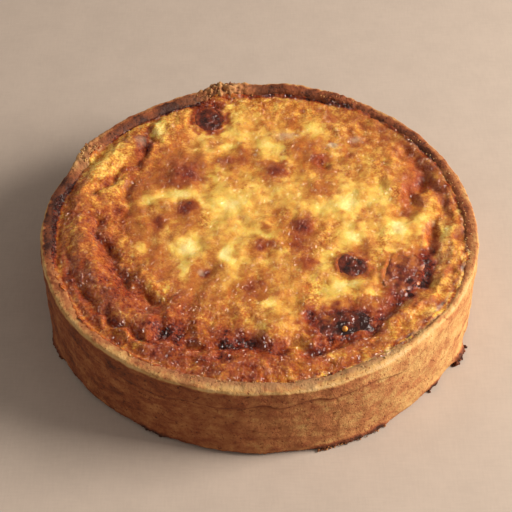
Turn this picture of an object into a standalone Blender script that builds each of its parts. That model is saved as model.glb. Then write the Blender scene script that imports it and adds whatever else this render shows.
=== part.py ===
"""Quiche lorraine: a deep shortcrust case, its baked custard and the bacon pieces that show on top.

The tart stands on its flat base, +Z up, with its front at -Y. The origin lies under its middle,
on the surface that it stands on. Lengths are in metres. The case and the custard are turned
shapes made uneven by slow waves, named marks and folds, and seeded noise.
"""

import math
from collections import namedtuple

import bmesh
import bpy
import numpy as np
from mathutils import Euler, Vector

# Driving dimensions
RIM_RADIUS = 0.1000
BASE_RADIUS = 0.1000
RIM_HEIGHT = 0.0438
WALL_THICKNESS = 0.0070
WALL_THICKER_IN_FRONT = 0.0004
FLOOR_THICKNESS = 0.0060
CUSTARD_HEIGHT = 0.0415
GAP = 0.0003

# Facets: the custard's rings have six more corners each, so its edge matches the case
RINGS = 24
AROUND = 6 * RINGS
OUTLINE_STEPS = 3600
LARDON_SUBDIVISIONS = 3
BEAD_SUBDIVISIONS = 2

# Slow unevenness round the tart: waves in one turn, size, start angle in degrees
Wave = namedtuple("Wave", "count size start_deg")
OUTLINE_WAVES = (Wave(2, 0.0004, 10), Wave(3, 0.0003, 200), Wave(5, 0.0003, 65), Wave(9, 0.0002, 20))
RIM_WAVES = (Wave(2, 0.0003, 80), Wave(5, 0.0003, 10), Wave(8, 0.0002, 130), Wave(17, 0.00015, 40))
THICKNESS_WAVES = (Wave(3, 0.0003, 30), Wave(7, 0.0003, 100), Wave(13, 0.0002, 70))

# Marks on the rim, from the right (0 degrees) round by the back (90 degrees)
RimMark = namedtuple("RimMark", "angle_deg half_deg outward upward")
RIM_MARKS = (
    RimMark(38, 16, 0.0003, 0.0004),
    RimMark(67, 4, 0.0002, 0.0012),
    RimMark(80, 7, 0.0003, 0.0011),
    RimMark(95, 3, 0.0002, 0.0014),
    RimMark(102, 4.5, 0.0005, 0.0034),
    RimMark(113, 5, 0.0002, 0.0008),
    RimMark(124, 16, -0.0002, -0.0001),
    RimMark(149, 3.5, 0.0004, 0.0015),
    RimMark(160, 7, -0.0012, -0.0006),
    RimMark(-127, 24, 0.0009, -0.0002),
)
CRAG_ANGLE_DEG = 99
CRAG_HALF_DEG = 9
CRAG_ROUGHNESS = 0.0012
CRAG_CELL_DEG = 4
CRAG_SEED = 21

# Crumbs that leaked and burnt onto the foot of the wall
FootMark = namedtuple("FootMark", "angle_deg half_deg outward")
FOOT_MARKS = (
    FootMark(-25, 2.7, 0.0034),
    FootMark(-38, 1.8, 0.0012),
    FootMark(-59, 2.6, 0.0015),
    FootMark(-66, 3.0, 0.0016),
    FootMark(-73, 3.0, 0.0012),
    FootMark(-118, 3.0, 0.0010),
    FootMark(-158, 3.6, 0.0022),
    FootMark(60, 3.0, 0.0012),
    FootMark(135, 3.0, 0.0010),
)
FOOT_BLUNTNESS = 1.6

# Section of the case. Foot: inward from the base's radius, share of a foot mark, height
FOOT_PROFILE = ((0.0022, 0.85, 0.0), (0.0005, 1.0, 0.0012), (0.0, 0.60, 0.0030))
WALL_LEVELS = (0.0062, 0.0140, 0.0230)
# Rim outside: inward from its outer edge, below its crest. Rim inside: outward from its inner side
RIM_OUTSIDE = ((0.0, 0.0040), (0.0001, 0.0016), (0.0005, 0.0005), (0.0013, 0.0))
RIM_LAP_SHARE = 0.5
# In front on the right the lapped band slopes outward from the crest
BAND_SLOPE = 0.0018
BAND_SLOPE_DEG = -50
BAND_SLOPE_HALF_DEG = 24
BAND_SLOPE_SHARES = (0.25, 0.75, 1.0, 1.0)
RIM_INSIDE = ((0.0028, 0.0002), (0.0010, 0.0011), (0.0, 0.0030))
# Inside: inward from the inner side, above the floor
FLOOR_PROFILE = ((0.0004, 0.0120), (0.0012, 0.0020), (0.0036, 0.0))

# The upper band of pastry laps over the wall and ends in a wavy crease, deepest in front
CreasePoint = namedtuple("CreasePoint", "angle_deg height")
CREASE_POINTS = (
    CreasePoint(-160, 0.0340),
    CreasePoint(-135, 0.0325),
    CreasePoint(-114, 0.0302),
    CreasePoint(-108, 0.0330),
    CreasePoint(-99, 0.0325),
    CreasePoint(-93, 0.0333),
    CreasePoint(-89, 0.0362),
    CreasePoint(-86, 0.0325),
    CreasePoint(-83, 0.0332),
    CreasePoint(-77, 0.0374),
    CreasePoint(-73, 0.0340),
    CreasePoint(-69, 0.0346),
    CreasePoint(-64, 0.0372),
    CreasePoint(-59, 0.0359),
    CreasePoint(-52, 0.0318),
    CreasePoint(-48, 0.0362),
    CreasePoint(-42, 0.0382),
    CreasePoint(-36, 0.0383),
    CreasePoint(-15, 0.0340),
    CreasePoint(40, 0.0345),
    CreasePoint(110, 0.0335),
)
CREASE_SMOOTHING_DEG = (-1.6, -0.8, 0.0, 0.8, 1.6)
CREASE_UNDER = 0.0009
CREASE_OVER = 0.0004
LAP_DEPTH = 0.0006
LAP_FRONT_DEG = -80
LAP_HALF_DEG = 55
LAP_LEAST = 0.3

# Custard levels: the browned outer ring stands high on the left and sinks at the back
RING_RADIUS = 0.083
RING_HALF_WIDTH = 0.0095
RING_RISE = 0.0013
RING_RISE_TO_LEFT = 0.0009
RING_DROP_TO_BACK = 0.0007
MIDDLE_RISE_TO_RIGHT = 0.0012
MIDDLE_RISE_TO_FRONT = 0.0004
EDGE_WIDTH = 0.007

# How far the custard's edge stands above or below its middle: nearly level with the rim on the right
EdgePoint = namedtuple("EdgePoint", "angle_deg rise")
EDGE_POINTS = (
    EdgePoint(-150, -0.0002),
    EdgePoint(-100, -0.0002),
    EdgePoint(-70, 0.0004),
    EdgePoint(-45, 0.0012),
    EdgePoint(-10, 0.0015),
    EdgePoint(25, 0.0015),
    EdgePoint(50, 0.0012),
    EdgePoint(66, 0.0004),
    EdgePoint(90, -0.0008),
    EdgePoint(140, -0.0008),
    EdgePoint(170, -0.0003),
)
RING_CROWDING = 0.85
HILLS = ((0.0110, 0.0007, 11), (0.0060, 0.0005, 12))

# Folds wander from their paths and are uneven along them
FOLD_CELL = 0.0090
FOLD_WANDER = 0.0030
FOLD_UNEVENNESS = 0.55
WANDER_SEEDS = (14, 15, 16)
PATH_STEPS = 6

# Folds and grooves of the custard's skin: corners of a smooth path, half width, rise
Fold = namedtuple("Fold", "path half_width rise")
ROLL_LEFT = ((-0.086, 0.022), (-0.081, -0.004), (-0.074, -0.024), (-0.066, -0.041), (-0.050, -0.060))
GROOVE_LEFT = ((-0.078, 0.004), (-0.073, -0.009), (-0.067, -0.022), (-0.061, -0.034), (-0.047, -0.046))
GROOVE_RIM = ((-0.088, -0.018), (-0.083, -0.032), (-0.077, -0.045), (-0.067, -0.057), (-0.052, -0.067))
RIDGE_RIM = ((-0.090, -0.022), (-0.085, -0.037), (-0.077, -0.050), (-0.066, -0.063), (-0.050, -0.074))
GROOVE_BACK = ((-0.054, 0.069), (-0.0545, 0.057), (-0.059, 0.046), (-0.067, 0.036), (-0.078, 0.022))
GROOVE_MIDDLE = ((-0.060, 0.040), (-0.062, 0.026), (-0.0625, 0.010))
HOLLOW_FRONT = ((-0.034, -0.071), (-0.022, -0.073), (-0.010, -0.070), (0.004, -0.073), (0.018, -0.072))
TRENCH_FRONT = ((0.019, -0.077), (0.034, -0.070), (0.048, -0.062), (0.060, -0.046), (0.072, -0.035))
TRENCH_RIGHT = ((0.072, -0.035), (0.0765, -0.024), (0.0785, -0.012), (0.080, 0.000))
TRENCH_BACK = ((0.067, 0.010), (0.0715, 0.018), (0.0765, 0.028), (0.0770, 0.040), (0.0725, 0.052))
TRENCH_BRANCH = ((0.074, 0.031), (0.082, 0.029), (0.0865, 0.021), (0.088, 0.011))
RIDGE_RIGHT = ((0.089, 0.020), (0.0905, 0.004), (0.0885, -0.014), (0.082, -0.033), (0.070, -0.052))
FOLDS = (
    Fold(ROLL_LEFT, 0.0050, 0.0015),
    Fold(GROOVE_LEFT, 0.0031, -0.0024),
    Fold(GROOVE_RIM, 0.0021, -0.0018),
    Fold(RIDGE_RIM, 0.0022, 0.0011),
    Fold(GROOVE_BACK, 0.0022, -0.0020),
    Fold(GROOVE_MIDDLE, 0.0028, -0.0011),
    Fold(HOLLOW_FRONT, 0.0036, -0.0030),
    Fold(TRENCH_FRONT, 0.0030, -0.0026),
    Fold(TRENCH_RIGHT, 0.0030, -0.0020),
    Fold(TRENCH_BACK, 0.0042, -0.0017),
    Fold(TRENCH_BRANCH, 0.0036, -0.0016),
    Fold(RIDGE_RIGHT, 0.0021, 0.0012),
)

# Lumps and pits of the custard: centre, half length, half width, turn in degrees, rise
Lump = namedtuple("Lump", "x y half_length half_width turn_deg rise")
LUMPS = (
    Lump(-0.040, -0.053, 0.0055, 0.0045, 30, 0.0024),
    Lump(-0.042, -0.0655, 0.0045, 0.0032, -40, -0.0036),
    Lump(-0.033, -0.063, 0.0040, 0.0034, 0, -0.0022),
    Lump(-0.054, -0.034, 0.0080, 0.0045, 65, 0.0018),
    Lump(-0.046, -0.037, 0.0060, 0.0045, 40, 0.0016),
    Lump(-0.078, 0.043, 0.0120, 0.0080, 60, 0.0012),
    Lump(-0.066, 0.055, 0.0090, 0.0070, 40, 0.0012),
    Lump(-0.046, 0.066, 0.0080, 0.0090, 0, 0.0014),
    Lump(-0.052, 0.054, 0.0022, 0.0026, 0, 0.0012),
    Lump(-0.037, 0.036, 0.0075, 0.0085, 0, 0.0010),
    Lump(0.063, 0.041, 0.0080, 0.0100, 0, 0.0017),
    Lump(0.066, 0.023, 0.0050, 0.0065, 0, 0.0014),
    Lump(0.078, 0.020, 0.0050, 0.0060, 0, 0.0016),
    Lump(0.074, 0.003, 0.0080, 0.0050, 60, 0.0012),
    Lump(0.085, -0.012, 0.0045, 0.0110, -10, 0.0010),
    Lump(0.066, -0.050, 0.0120, 0.0060, 45, 0.0012),
    Lump(0.048, -0.036, 0.0110, 0.0070, 0, 0.0012),
    Lump(0.008, -0.059, 0.0120, 0.0080, 0, 0.0015),
    Lump(-0.022, -0.047, 0.0120, 0.0090, 0, 0.0008),
    Lump(0.026, 0.056, 0.0110, 0.0060, 20, 0.0010),
    Lump(0.030, 0.043, 0.0030, 0.0028, 0, -0.0024),
    Lump(-0.024, -0.029, 0.0030, 0.0034, 0, -0.0012),
    Lump(0.024, -0.056, 0.0026, 0.0030, 0, -0.0016),
    Lump(-0.015, -0.079, 0.0040, 0.0030, 0, -0.0018),
    Lump(-0.036, -0.014, 0.0080, 0.0060, 30, -0.0010),
    Lump(0.000, 0.012, 0.0150, 0.0060, 25, -0.0008),
    Lump(0.008, 0.038, 0.0045, 0.0045, 0, 0.0007),
    Lump(0.020, -0.001, 0.0050, 0.0060, 0, 0.0008),
    Lump(-0.034, 0.013, 0.0045, 0.0045, 0, 0.0007),
)

# Bacon pieces: middle of the bed in the custard's top, half sizes, turn and tilts in degrees, seed
Lardon = namedtuple("Lardon", "name place half_sizes turn_deg tilt_deg pitch_deg seed")
LARDONS = (
    Lardon("lardon_back_left", (-0.0252, 0.0762, 0.0408), (0.0088, 0.0108, 0.0046), 14, 3, 2, 3),
    Lardon("lardon_centre_right", (0.0416, -0.0252, 0.0419), (0.0088, 0.0074, 0.0042), -30, 0, 1, 5),
    Lardon("lardon_right", (0.0640, -0.0288, 0.0418), (0.0148, 0.0098, 0.0050), 66, 3, 2, 8),
    Lardon("lardon_front_right", (0.0360, -0.0585, 0.0407), (0.0158, 0.0090, 0.0050), 12, 0, -1, 13),
)
LARDON_PROUD = 0.0010
LARDON_SQUARENESS = 3.2
LARDON_ROUGHNESS = 0.10
LARDON_CELL = 0.55
BED_REACH = 1.15
BED_STEEPNESS = 6
POCKET_GAP = 0.00035

# A bead of melted cheese on the front bacon piece
BEAD_RADIUS = 0.0013
BEAD_PLACE = (0.0368, -0.0628, 0.0422)
BEAD_HOST = "lardon_front_right"

# Materials: colour, roughness
PASTRY_COLOUR = (0.60, 0.36, 0.15)
CUSTARD_COLOUR = (0.72, 0.38, 0.08)
BACON_COLOUR = (0.16, 0.045, 0.025)
PASTRY_ROUGHNESS = 0.85
CUSTARD_ROUGHNESS = 0.40
BACON_ROUGHNESS = 0.35


def waves(angle, terms):
    """Sum of slow waves round the tart."""
    return sum(w.size * np.cos(w.count * (angle - math.radians(w.start_deg))) for w in terms)


def hump(angle, centre_deg, half_deg):
    """1 at an angle, falling smoothly to 0 on both sides of it."""
    turn = (angle - math.radians(centre_deg) + math.pi) % math.tau - math.pi
    return np.exp(-((turn / math.radians(half_deg)) ** 2))


def noise(x, y, cell, seed, side=64):
    """Smooth seeded hills, one about every cell, from about -1 to 1."""
    lean = np.random.default_rng(seed).uniform(0, math.tau, (side, side))
    u = x / cell
    v = y / cell
    column = np.floor(u).astype(int)
    row = np.floor(v).astype(int)

    def corner(right, up):
        at = lean[(column + right) % side, (row + up) % side]
        return np.cos(at) * (u - column - right) + np.sin(at) * (v - row - up)

    def fade(t):
        return t * t * t * (t * (6 * t - 15) + 10)

    across = fade(u - column)
    along = fade(v - row)
    near = corner(0, 0) * (1 - across) + corner(1, 0) * across
    far = corner(0, 1) * (1 - across) + corner(1, 1) * across
    return 1.5 * (near * (1 - along) + far * along)


def ease(t):
    """0 to 1 with level ends."""
    t = np.clip(t, 0, 1)
    return t * t * (3 - 2 * t)


def smooth_path(corners):
    """Points along a smooth curve through the corners of a path."""
    ends = [corners[0], *corners, corners[-1]]
    points = []
    for a, b, c, d in zip(ends, ends[1:], ends[2:], ends[3:]):
        for step in range(PATH_STEPS):
            t = step / PATH_STEPS
            weights = (
                -0.5 * t + t * t - 0.5 * t**3,
                1 - 2.5 * t * t + 1.5 * t**3,
                0.5 * t + 2 * t * t - 1.5 * t**3,
                -0.5 * t * t + 0.5 * t**3,
            )
            points.append([sum(w * p[k] for w, p in zip(weights, (a, b, c, d))) for k in (0, 1)])
    points.append(list(corners[-1]))
    return np.array(points)


def distance_to_path(x, y, path):
    """Distance of each point to the nearest stretch of a path."""
    nearest = np.full(np.shape(x), np.inf)
    for start, end in zip(path, path[1:]):
        run = end - start
        t = ((x - start[0]) * run[0] + (y - start[1]) * run[1]) / max(run @ run, 1e-12)
        t = np.clip(t, 0, 1)
        nearest = np.minimum(nearest, np.hypot(x - start[0] - t * run[0], y - start[1] - t * run[1]))
    return nearest


def ellipse_distance(x, y, middle, half_sizes, turn_deg):
    """Distance from the middle of a turned ellipse, 1 on its edge."""
    turn = math.radians(turn_deg)
    along = ((x - middle[0]) * math.cos(turn) + (y - middle[1]) * math.sin(turn)) / half_sizes[0]
    across = ((y - middle[1]) * math.cos(turn) - (x - middle[0]) * math.sin(turn)) / half_sizes[1]
    return np.hypot(along, across)


def rim_radius(angle):
    """Outer radius of the case at its rim."""
    marks = sum(m.outward * hump(angle, m.angle_deg, m.half_deg) for m in RIM_MARKS)
    return RIM_RADIUS + waves(angle, OUTLINE_WAVES) + marks


def base_radius(angle):
    """Outer radius of the case just above its base."""
    return BASE_RADIUS + waves(angle, OUTLINE_WAVES)


def rim_height(angle):
    """Height of the rim's crest, with the broken crag at the back left."""
    marks = sum(m.upward * hump(angle, m.angle_deg, m.half_deg) for m in RIM_MARKS)
    broken = noise(angle, 0 * angle, math.radians(CRAG_CELL_DEG), CRAG_SEED)
    broken = broken * hump(angle, CRAG_ANGLE_DEG, CRAG_HALF_DEG)
    return RIM_HEIGHT + waves(angle, RIM_WAVES) + marks + CRAG_ROUGHNESS * broken


def inner_radius(angle):
    """Radius of the case's inner side."""
    front = -np.sin(angle) * WALL_THICKER_IN_FRONT
    return rim_radius(angle) - WALL_THICKNESS - front - waves(angle, THICKNESS_WAVES)


def crease_height(angle):
    """Height of the wavy crease under the lapped band."""
    places = [p.angle_deg for p in CREASE_POINTS]
    heights = [p.height for p in CREASE_POINTS]
    turn = np.degrees(angle)
    return np.mean([np.interp(turn + d, places, heights, period=360) for d in CREASE_SMOOTHING_DEG], axis=0)


def lap_depth(angle):
    """How far the lapped band stands proud of the wall."""
    return LAP_DEPTH * (LAP_LEAST + (1 - LAP_LEAST) * hump(angle, LAP_FRONT_DEG, LAP_HALF_DEG))


def middle_of_outline():
    """Middle of the case's box, worked out finely from its outline."""
    angle = np.linspace(0, math.tau, OUTLINE_STEPS, endpoint=False)
    radius = rim_radius(angle)
    x = radius * np.cos(angle)
    y = radius * np.sin(angle)
    return np.array([(x.min() + x.max()) / 2, (y.min() + y.max()) / 2])


def lardon_turn(lardon):
    """How a bacon piece is turned and tilted."""
    turns = (lardon.tilt_deg, lardon.pitch_deg, lardon.turn_deg)
    return Euler([math.radians(t) for t in turns]).to_matrix()


def lardon_bed(lardon, x, y):
    """Height of the flat bed in the custard's top that a bacon piece lies in."""
    up = lardon_turn(lardon).col[2]
    return lardon.place[2] - (up.x * (x - lardon.place[0]) + up.y * (y - lardon.place[1])) / up.z


def edge_rise(angle):
    """How far the custard's edge stands above its middle at each angle."""
    places = [p.angle_deg for p in EDGE_POINTS]
    return np.interp(np.degrees(angle), places, [p.rise for p in EDGE_POINTS], period=360)


def custard_height(x, y):
    """Height of the custard's top at each point."""
    angle = np.arctan2(y, x)
    radius = np.hypot(x, y)
    ring = np.exp(-(((radius - RING_RADIUS) / RING_HALF_WIDTH) ** 2))
    ring_rise = RING_RISE - RING_RISE_TO_LEFT * np.cos(angle) - RING_DROP_TO_BACK * np.sin(angle)
    middle = 1 - ease((radius - RING_RADIUS + 2 * RING_HALF_WIDTH) / RING_HALF_WIDTH)
    lean = (MIDDLE_RISE_TO_RIGHT * x - MIDDLE_RISE_TO_FRONT * y) / RIM_RADIUS
    edge = ease((radius - inner_radius(angle) + EDGE_WIDTH) / EDGE_WIDTH)
    height = CUSTARD_HEIGHT + ring * ring_rise + middle * lean + edge * edge_rise(angle)
    calm = 1 - edge
    wander = [noise(x, y, FOLD_CELL, seed) for seed in WANDER_SEEDS]
    u = x + FOLD_WANDER * wander[0]
    v = y + FOLD_WANDER * wander[1]
    for fold in FOLDS:
        away = distance_to_path(u, v, smooth_path(fold.path)) / fold.half_width
        rise = fold.rise * (1 + FOLD_UNEVENNESS * wander[2])
        height = height + calm * rise * np.exp(-(away**2))
    for lump in LUMPS:
        away = ellipse_distance(u, v, (lump.x, lump.y), (lump.half_length, lump.half_width), lump.turn_deg)
        height = height + calm * lump.rise * np.exp(-(away**2))
    for cell, rise, seed in HILLS:
        height = height + rise * noise(x, y, cell, seed)
    for lardon in LARDONS:
        away = ellipse_distance(x, y, lardon.place, lardon.half_sizes, lardon.turn_deg) / BED_REACH
        height = height + (lardon_bed(lardon, x, y) - height) * np.exp(-(away**BED_STEEPNESS))
    return height


def wall_radius(angle, height):
    """Outer radius of the wall at a height: it widens slowly towards the rim."""
    base = base_radius(angle)
    return base + (rim_radius(angle) - base) * ease(height / RIM_HEIGHT)


def foot_bulge(angle):
    """How far the burnt crumbs stand out at the foot."""
    marks = [(m.outward, FOOT_BLUNTNESS * hump(angle, m.angle_deg, m.half_deg)) for m in FOOT_MARKS]
    return sum(outward * np.minimum(share, 1) for outward, share in marks)


def case_rings(angle):
    """Rings of the case from under its foot, up the outside, over the rim and down to its floor."""
    flat = 0 * angle
    base = base_radius(angle)
    inner = inner_radius(angle)
    crest = rim_height(angle)
    crease = crease_height(angle)
    lap = lap_depth(angle)
    bulge = foot_bulge(angle)
    rings = [(base - inward + share * bulge, flat + level) for inward, share, level in FOOT_PROFILE]
    rings += [(wall_radius(angle, flat + level), flat + level) for level in WALL_LEVELS]
    rings.append((wall_radius(angle, crease) - lap / 2, crease - CREASE_UNDER))
    rings.append((wall_radius(angle, crease) + lap, crease + CREASE_OVER))
    edge = rim_radius(angle) + lap * RIM_LAP_SHARE
    slope = BAND_SLOPE * hump(angle, BAND_SLOPE_DEG, BAND_SLOPE_HALF_DEG)
    for (inward, below), share in zip(RIM_OUTSIDE, BAND_SLOPE_SHARES):
        rings.append((edge - inward - share * slope, crest - below))
    rings += [(inner + outward, crest - below) for outward, below in RIM_INSIDE]
    rings += [(inner - inward, flat + FLOOR_THICKNESS + above) for inward, above in FLOOR_PROFILE]
    return rings


def custard_side(angle):
    """Rings of the custard's side from its floor up to its top edge, a gap away from the case."""
    flat = 0 * angle
    edge = inner_radius(angle) - GAP
    floor = FLOOR_THICKNESS + GAP
    rings = [(edge - inward, flat + floor + above) for inward, above in reversed(FLOOR_PROFILE)]
    rings.append((edge, custard_height(edge * np.cos(angle), edge * np.sin(angle))))
    return rings


def add_mesh(name, verts, faces, material, smooth=True):
    """A mesh object of the given corners and faces."""
    mesh = bpy.data.meshes.new(name)
    mesh.from_pydata([tuple(v) for v in verts], [], faces)
    mesh.materials.append(material)
    thing = bpy.data.objects.new(name, mesh)
    bpy.context.scene.collection.objects.link(thing)
    if smooth:
        mesh.shade_smooth()
    return thing


def add_material(name, colour, roughness):
    """A plain Principled material."""
    material = bpy.data.materials.new(name)
    material.use_nodes = True
    shader = material.node_tree.nodes["Principled BSDF"]
    shader.inputs["Base Color"].default_value = (*colour, 1)
    shader.inputs["Roughness"].default_value = roughness
    shader.inputs["Metallic"].default_value = 0
    return material


def ring_points(angle, radius, height):
    """Corners of one ring."""
    return np.stack([radius * np.cos(angle), radius * np.sin(angle), height + 0 * angle], -1)


def ring_walls(rings, first=0, count=AROUND):
    """Triangles between rings that follow each other, all split the same way."""
    faces = []
    for level in range(rings - 1):
        low = first + level * count
        for i in range(count):
            j = (i + 1) % count
            faces.append((low + i, low + j, low + count + j))
            faces.append((low + i, low + count + j, low + count + i))
    return faces


def make_case(material):
    """The shortcrust case: a deep cup with a rounded, worn rim."""
    angle = np.linspace(0, math.tau, AROUND, endpoint=False)
    rings = case_rings(angle)
    verts = np.concatenate([ring_points(angle, radius, height) for radius, height in rings])
    faces = ring_walls(len(rings))
    faces.append(tuple(reversed(range(AROUND))))
    last = AROUND * (len(rings) - 1)
    faces.append(tuple(range(last, last + AROUND)))
    return add_mesh("pastry_case", verts, faces, material)


def make_custard(material):
    """The custard: its side against the case, and a top of rings that grow by six corners."""
    angle = np.linspace(0, math.tau, AROUND, endpoint=False)
    side = custard_side(angle)
    verts = [ring_points(angle, radius, height) for radius, height in side]
    faces = [tuple(reversed(range(AROUND)))]
    faces += ring_walls(len(side))
    outer = AROUND * (len(side) - 1)
    for ring in range(RINGS - 1, 0, -1):
        turn = np.linspace(0, math.tau, 6 * ring, endpoint=False)
        radius = (inner_radius(turn) - GAP) * (ring / RINGS) ** RING_CROWDING
        x = radius * np.cos(turn)
        y = radius * np.sin(turn)
        verts.append(np.stack([x, y, custard_height(x, y)], -1))
        inner = outer + 6 * (ring + 1)
        faces += ring_faces(outer, inner, ring + 1)
        outer = inner
    middle = outer + 6
    verts.append(np.array([[0, 0, float(custard_height(np.zeros(1), np.zeros(1))[0])]]))
    faces += [(outer + i, outer + (i + 1) % 6, middle) for i in range(6)]
    return add_mesh("custard_filling", np.concatenate(verts), faces, material)


def ring_faces(outer, inner, ring):
    """Triangles between a ring of six times `ring` corners and the next one in."""
    faces = []
    for sector in range(6):
        for i in range(ring):
            a = outer + sector * ring + i
            b = outer + (sector * ring + i + 1) % (6 * ring)
            c = inner + (sector * (ring - 1) + i) % (6 * (ring - 1))
            faces.append((a, b, c))
            if i < ring - 1:
                d = inner + (sector * (ring - 1) + i + 1) % (6 * (ring - 1))
                faces.append((c, b, d))
    return faces


def lardon_mesh(lardon, name, grow):
    """A boxy lump with rounded, uneven sides, made larger all over by `grow`."""
    shape = bmesh.new()
    bmesh.ops.create_icosphere(shape, subdivisions=LARDON_SUBDIVISIONS, radius=1)
    for vert in shape.verts:
        ray = vert.co.normalized()
        reach = sum(abs(part) ** LARDON_SQUARENESS for part in ray) ** (-1 / LARDON_SQUARENESS)
        bump = float(noise(ray.x + 2 * ray.z, ray.y - ray.z, LARDON_CELL, lardon.seed))
        reach *= 1 + LARDON_ROUGHNESS * bump
        vert.co = Vector(reach * part * half for part, half in zip(ray, lardon.half_sizes))
    shape.normal_update()
    moved = [vert.co + grow * vert.normal for vert in shape.verts]
    for vert, place in zip(shape.verts, moved):
        vert.co = place
    mesh = bpy.data.meshes.new(name)
    shape.to_mesh(mesh)
    shape.free()
    mesh.shade_smooth()
    return mesh


def place_lardon(thing, lardon):
    """Puts a bacon piece, or the pocket cut for it, where it lies: just proud of its bed."""
    turned = lardon_turn(lardon)
    thing.location = Vector(lardon.place) + turned.col[2] * (LARDON_PROUD - lardon.half_sizes[2])
    thing.rotation_euler = turned.to_euler()


def hide_helper(thing):
    """Marks an object that only shapes another."""
    thing.hide_render = True
    thing.display_type = "WIRE"


def add_boolean(host, tool, operation):
    """Cuts a helper out of an object, or joins it on."""
    change = host.modifiers.new(tool.name, "BOOLEAN")
    change.operation = operation
    change.object = tool
    change.solver = "EXACT"


def make_lardon(lardon, material, custard):
    """One bacon piece, sunk in its own pocket in the custard."""
    mesh = lardon_mesh(lardon, lardon.name, 0)
    mesh.materials.append(material)
    piece = bpy.data.objects.new(lardon.name, mesh)
    pocket = bpy.data.objects.new(lardon.name + "_pocket", lardon_mesh(lardon, "pocket", POCKET_GAP))
    for thing in (piece, pocket):
        bpy.context.scene.collection.objects.link(thing)
        place_lardon(thing, lardon)
    hide_helper(pocket)
    add_boolean(custard, pocket, "DIFFERENCE")
    return [piece, pocket]


def make_bead(host, material):
    """The bead of melted cheese, joined to the bacon piece that it sits on."""
    shape = bmesh.new()
    bmesh.ops.create_icosphere(shape, subdivisions=BEAD_SUBDIVISIONS, radius=BEAD_RADIUS)
    mesh = bpy.data.meshes.new("melted_bead")
    shape.to_mesh(mesh)
    shape.free()
    mesh.materials.append(material)
    bead = bpy.data.objects.new("melted_bead", mesh)
    bpy.context.scene.collection.objects.link(bead)
    bead.location = BEAD_PLACE
    hide_helper(bead)
    add_boolean(host, bead, "UNION")
    return bead


def main():
    for thing in list(bpy.data.objects):
        bpy.data.objects.remove(thing)
    pastry = add_material("shortcrust_pastry", PASTRY_COLOUR, PASTRY_ROUGHNESS)
    custard = add_material("baked_custard", CUSTARD_COLOUR, CUSTARD_ROUGHNESS)
    bacon = add_material("smoked_bacon", BACON_COLOUR, BACON_ROUGHNESS)

    case = make_case(pastry)
    filling = make_custard(custard)
    parts = [case, filling]
    for lardon in LARDONS:
        parts += make_lardon(lardon, bacon, filling)
    host = next(part for part in parts if part.name == BEAD_HOST)
    parts.append(make_bead(host, custard))

    quiche = bpy.data.objects.new("quiche", None)
    bpy.context.scene.collection.objects.link(quiche)
    middle = middle_of_outline()
    quiche.location = (-middle[0], -middle[1], 0)
    for part in parts:
        part.parent = quiche
    bpy.context.view_layer.update()


main()
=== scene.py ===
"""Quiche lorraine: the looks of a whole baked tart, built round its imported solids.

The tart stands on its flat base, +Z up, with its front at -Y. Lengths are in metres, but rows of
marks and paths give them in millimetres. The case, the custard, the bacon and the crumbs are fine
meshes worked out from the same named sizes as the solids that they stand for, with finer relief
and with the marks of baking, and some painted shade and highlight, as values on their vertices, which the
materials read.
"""

import math
from collections import namedtuple

import bmesh
import bpy
import numpy as np
from mathutils import Euler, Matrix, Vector


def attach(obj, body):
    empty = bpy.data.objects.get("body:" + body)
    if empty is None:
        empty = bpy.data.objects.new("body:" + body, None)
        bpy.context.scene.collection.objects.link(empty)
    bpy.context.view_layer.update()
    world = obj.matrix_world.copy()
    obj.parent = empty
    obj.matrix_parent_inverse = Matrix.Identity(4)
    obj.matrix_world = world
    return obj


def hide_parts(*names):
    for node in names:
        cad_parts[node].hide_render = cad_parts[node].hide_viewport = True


bl_info = {
    "name": "Quiche lorraine",
    "version": (1, 0, 0),
    "blender": (4, 5, 0),
    "location": "3D View > Sidebar > Quiche",
    "description": "Builds a whole quiche lorraine with its browned custard, pastry case and bacon",
    "category": "Add Mesh",
}

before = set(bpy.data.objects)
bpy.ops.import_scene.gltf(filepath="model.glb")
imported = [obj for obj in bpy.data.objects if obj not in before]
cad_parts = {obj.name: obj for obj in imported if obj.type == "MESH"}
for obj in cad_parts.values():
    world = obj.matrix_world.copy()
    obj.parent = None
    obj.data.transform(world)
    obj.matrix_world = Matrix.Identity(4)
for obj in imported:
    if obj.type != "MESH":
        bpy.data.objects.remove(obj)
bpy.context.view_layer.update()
BODY = "root"

# Fields of marks that are lengths: the rows give them in millimetres, and the marks hold metres
MARK_LENGTHS = "size outward upward height rise start inward x y half_length half_width path".split()
MARK_LENGTHS += "place half_sizes aways heights radii".split()


def from_mm(fields, *rows):
    """Marks with these fields, from rows in millimetres that may leave out a last 0."""
    kind = namedtuple("Mark", fields, defaults=(0,))
    marks = []
    for row in rows:
        named = zip(kind._fields, row)
        marks.append(kind(*(np.divide(v, 1000) if field in MARK_LENGTHS else v for field, v in named)))
    return marks


# Slow unevenness round the tart: waves in one turn, size, start angle in degrees
OUTLINE_WAVES = from_mm("count size start_deg", (2, 0.4, 10), (3, 0.3, 200), (5, 0.3, 65), (9, 0.2, 20))
RIM_WAVES = from_mm("count size start_deg", (2, 0.3, 80), (5, 0.3, 10), (8, 0.2, 130), (17, 0.15, 40))
THICKNESS_WAVES = from_mm("count size start_deg", (3, 0.3, 30), (7, 0.3, 100), (13, 0.2, 70))

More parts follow.
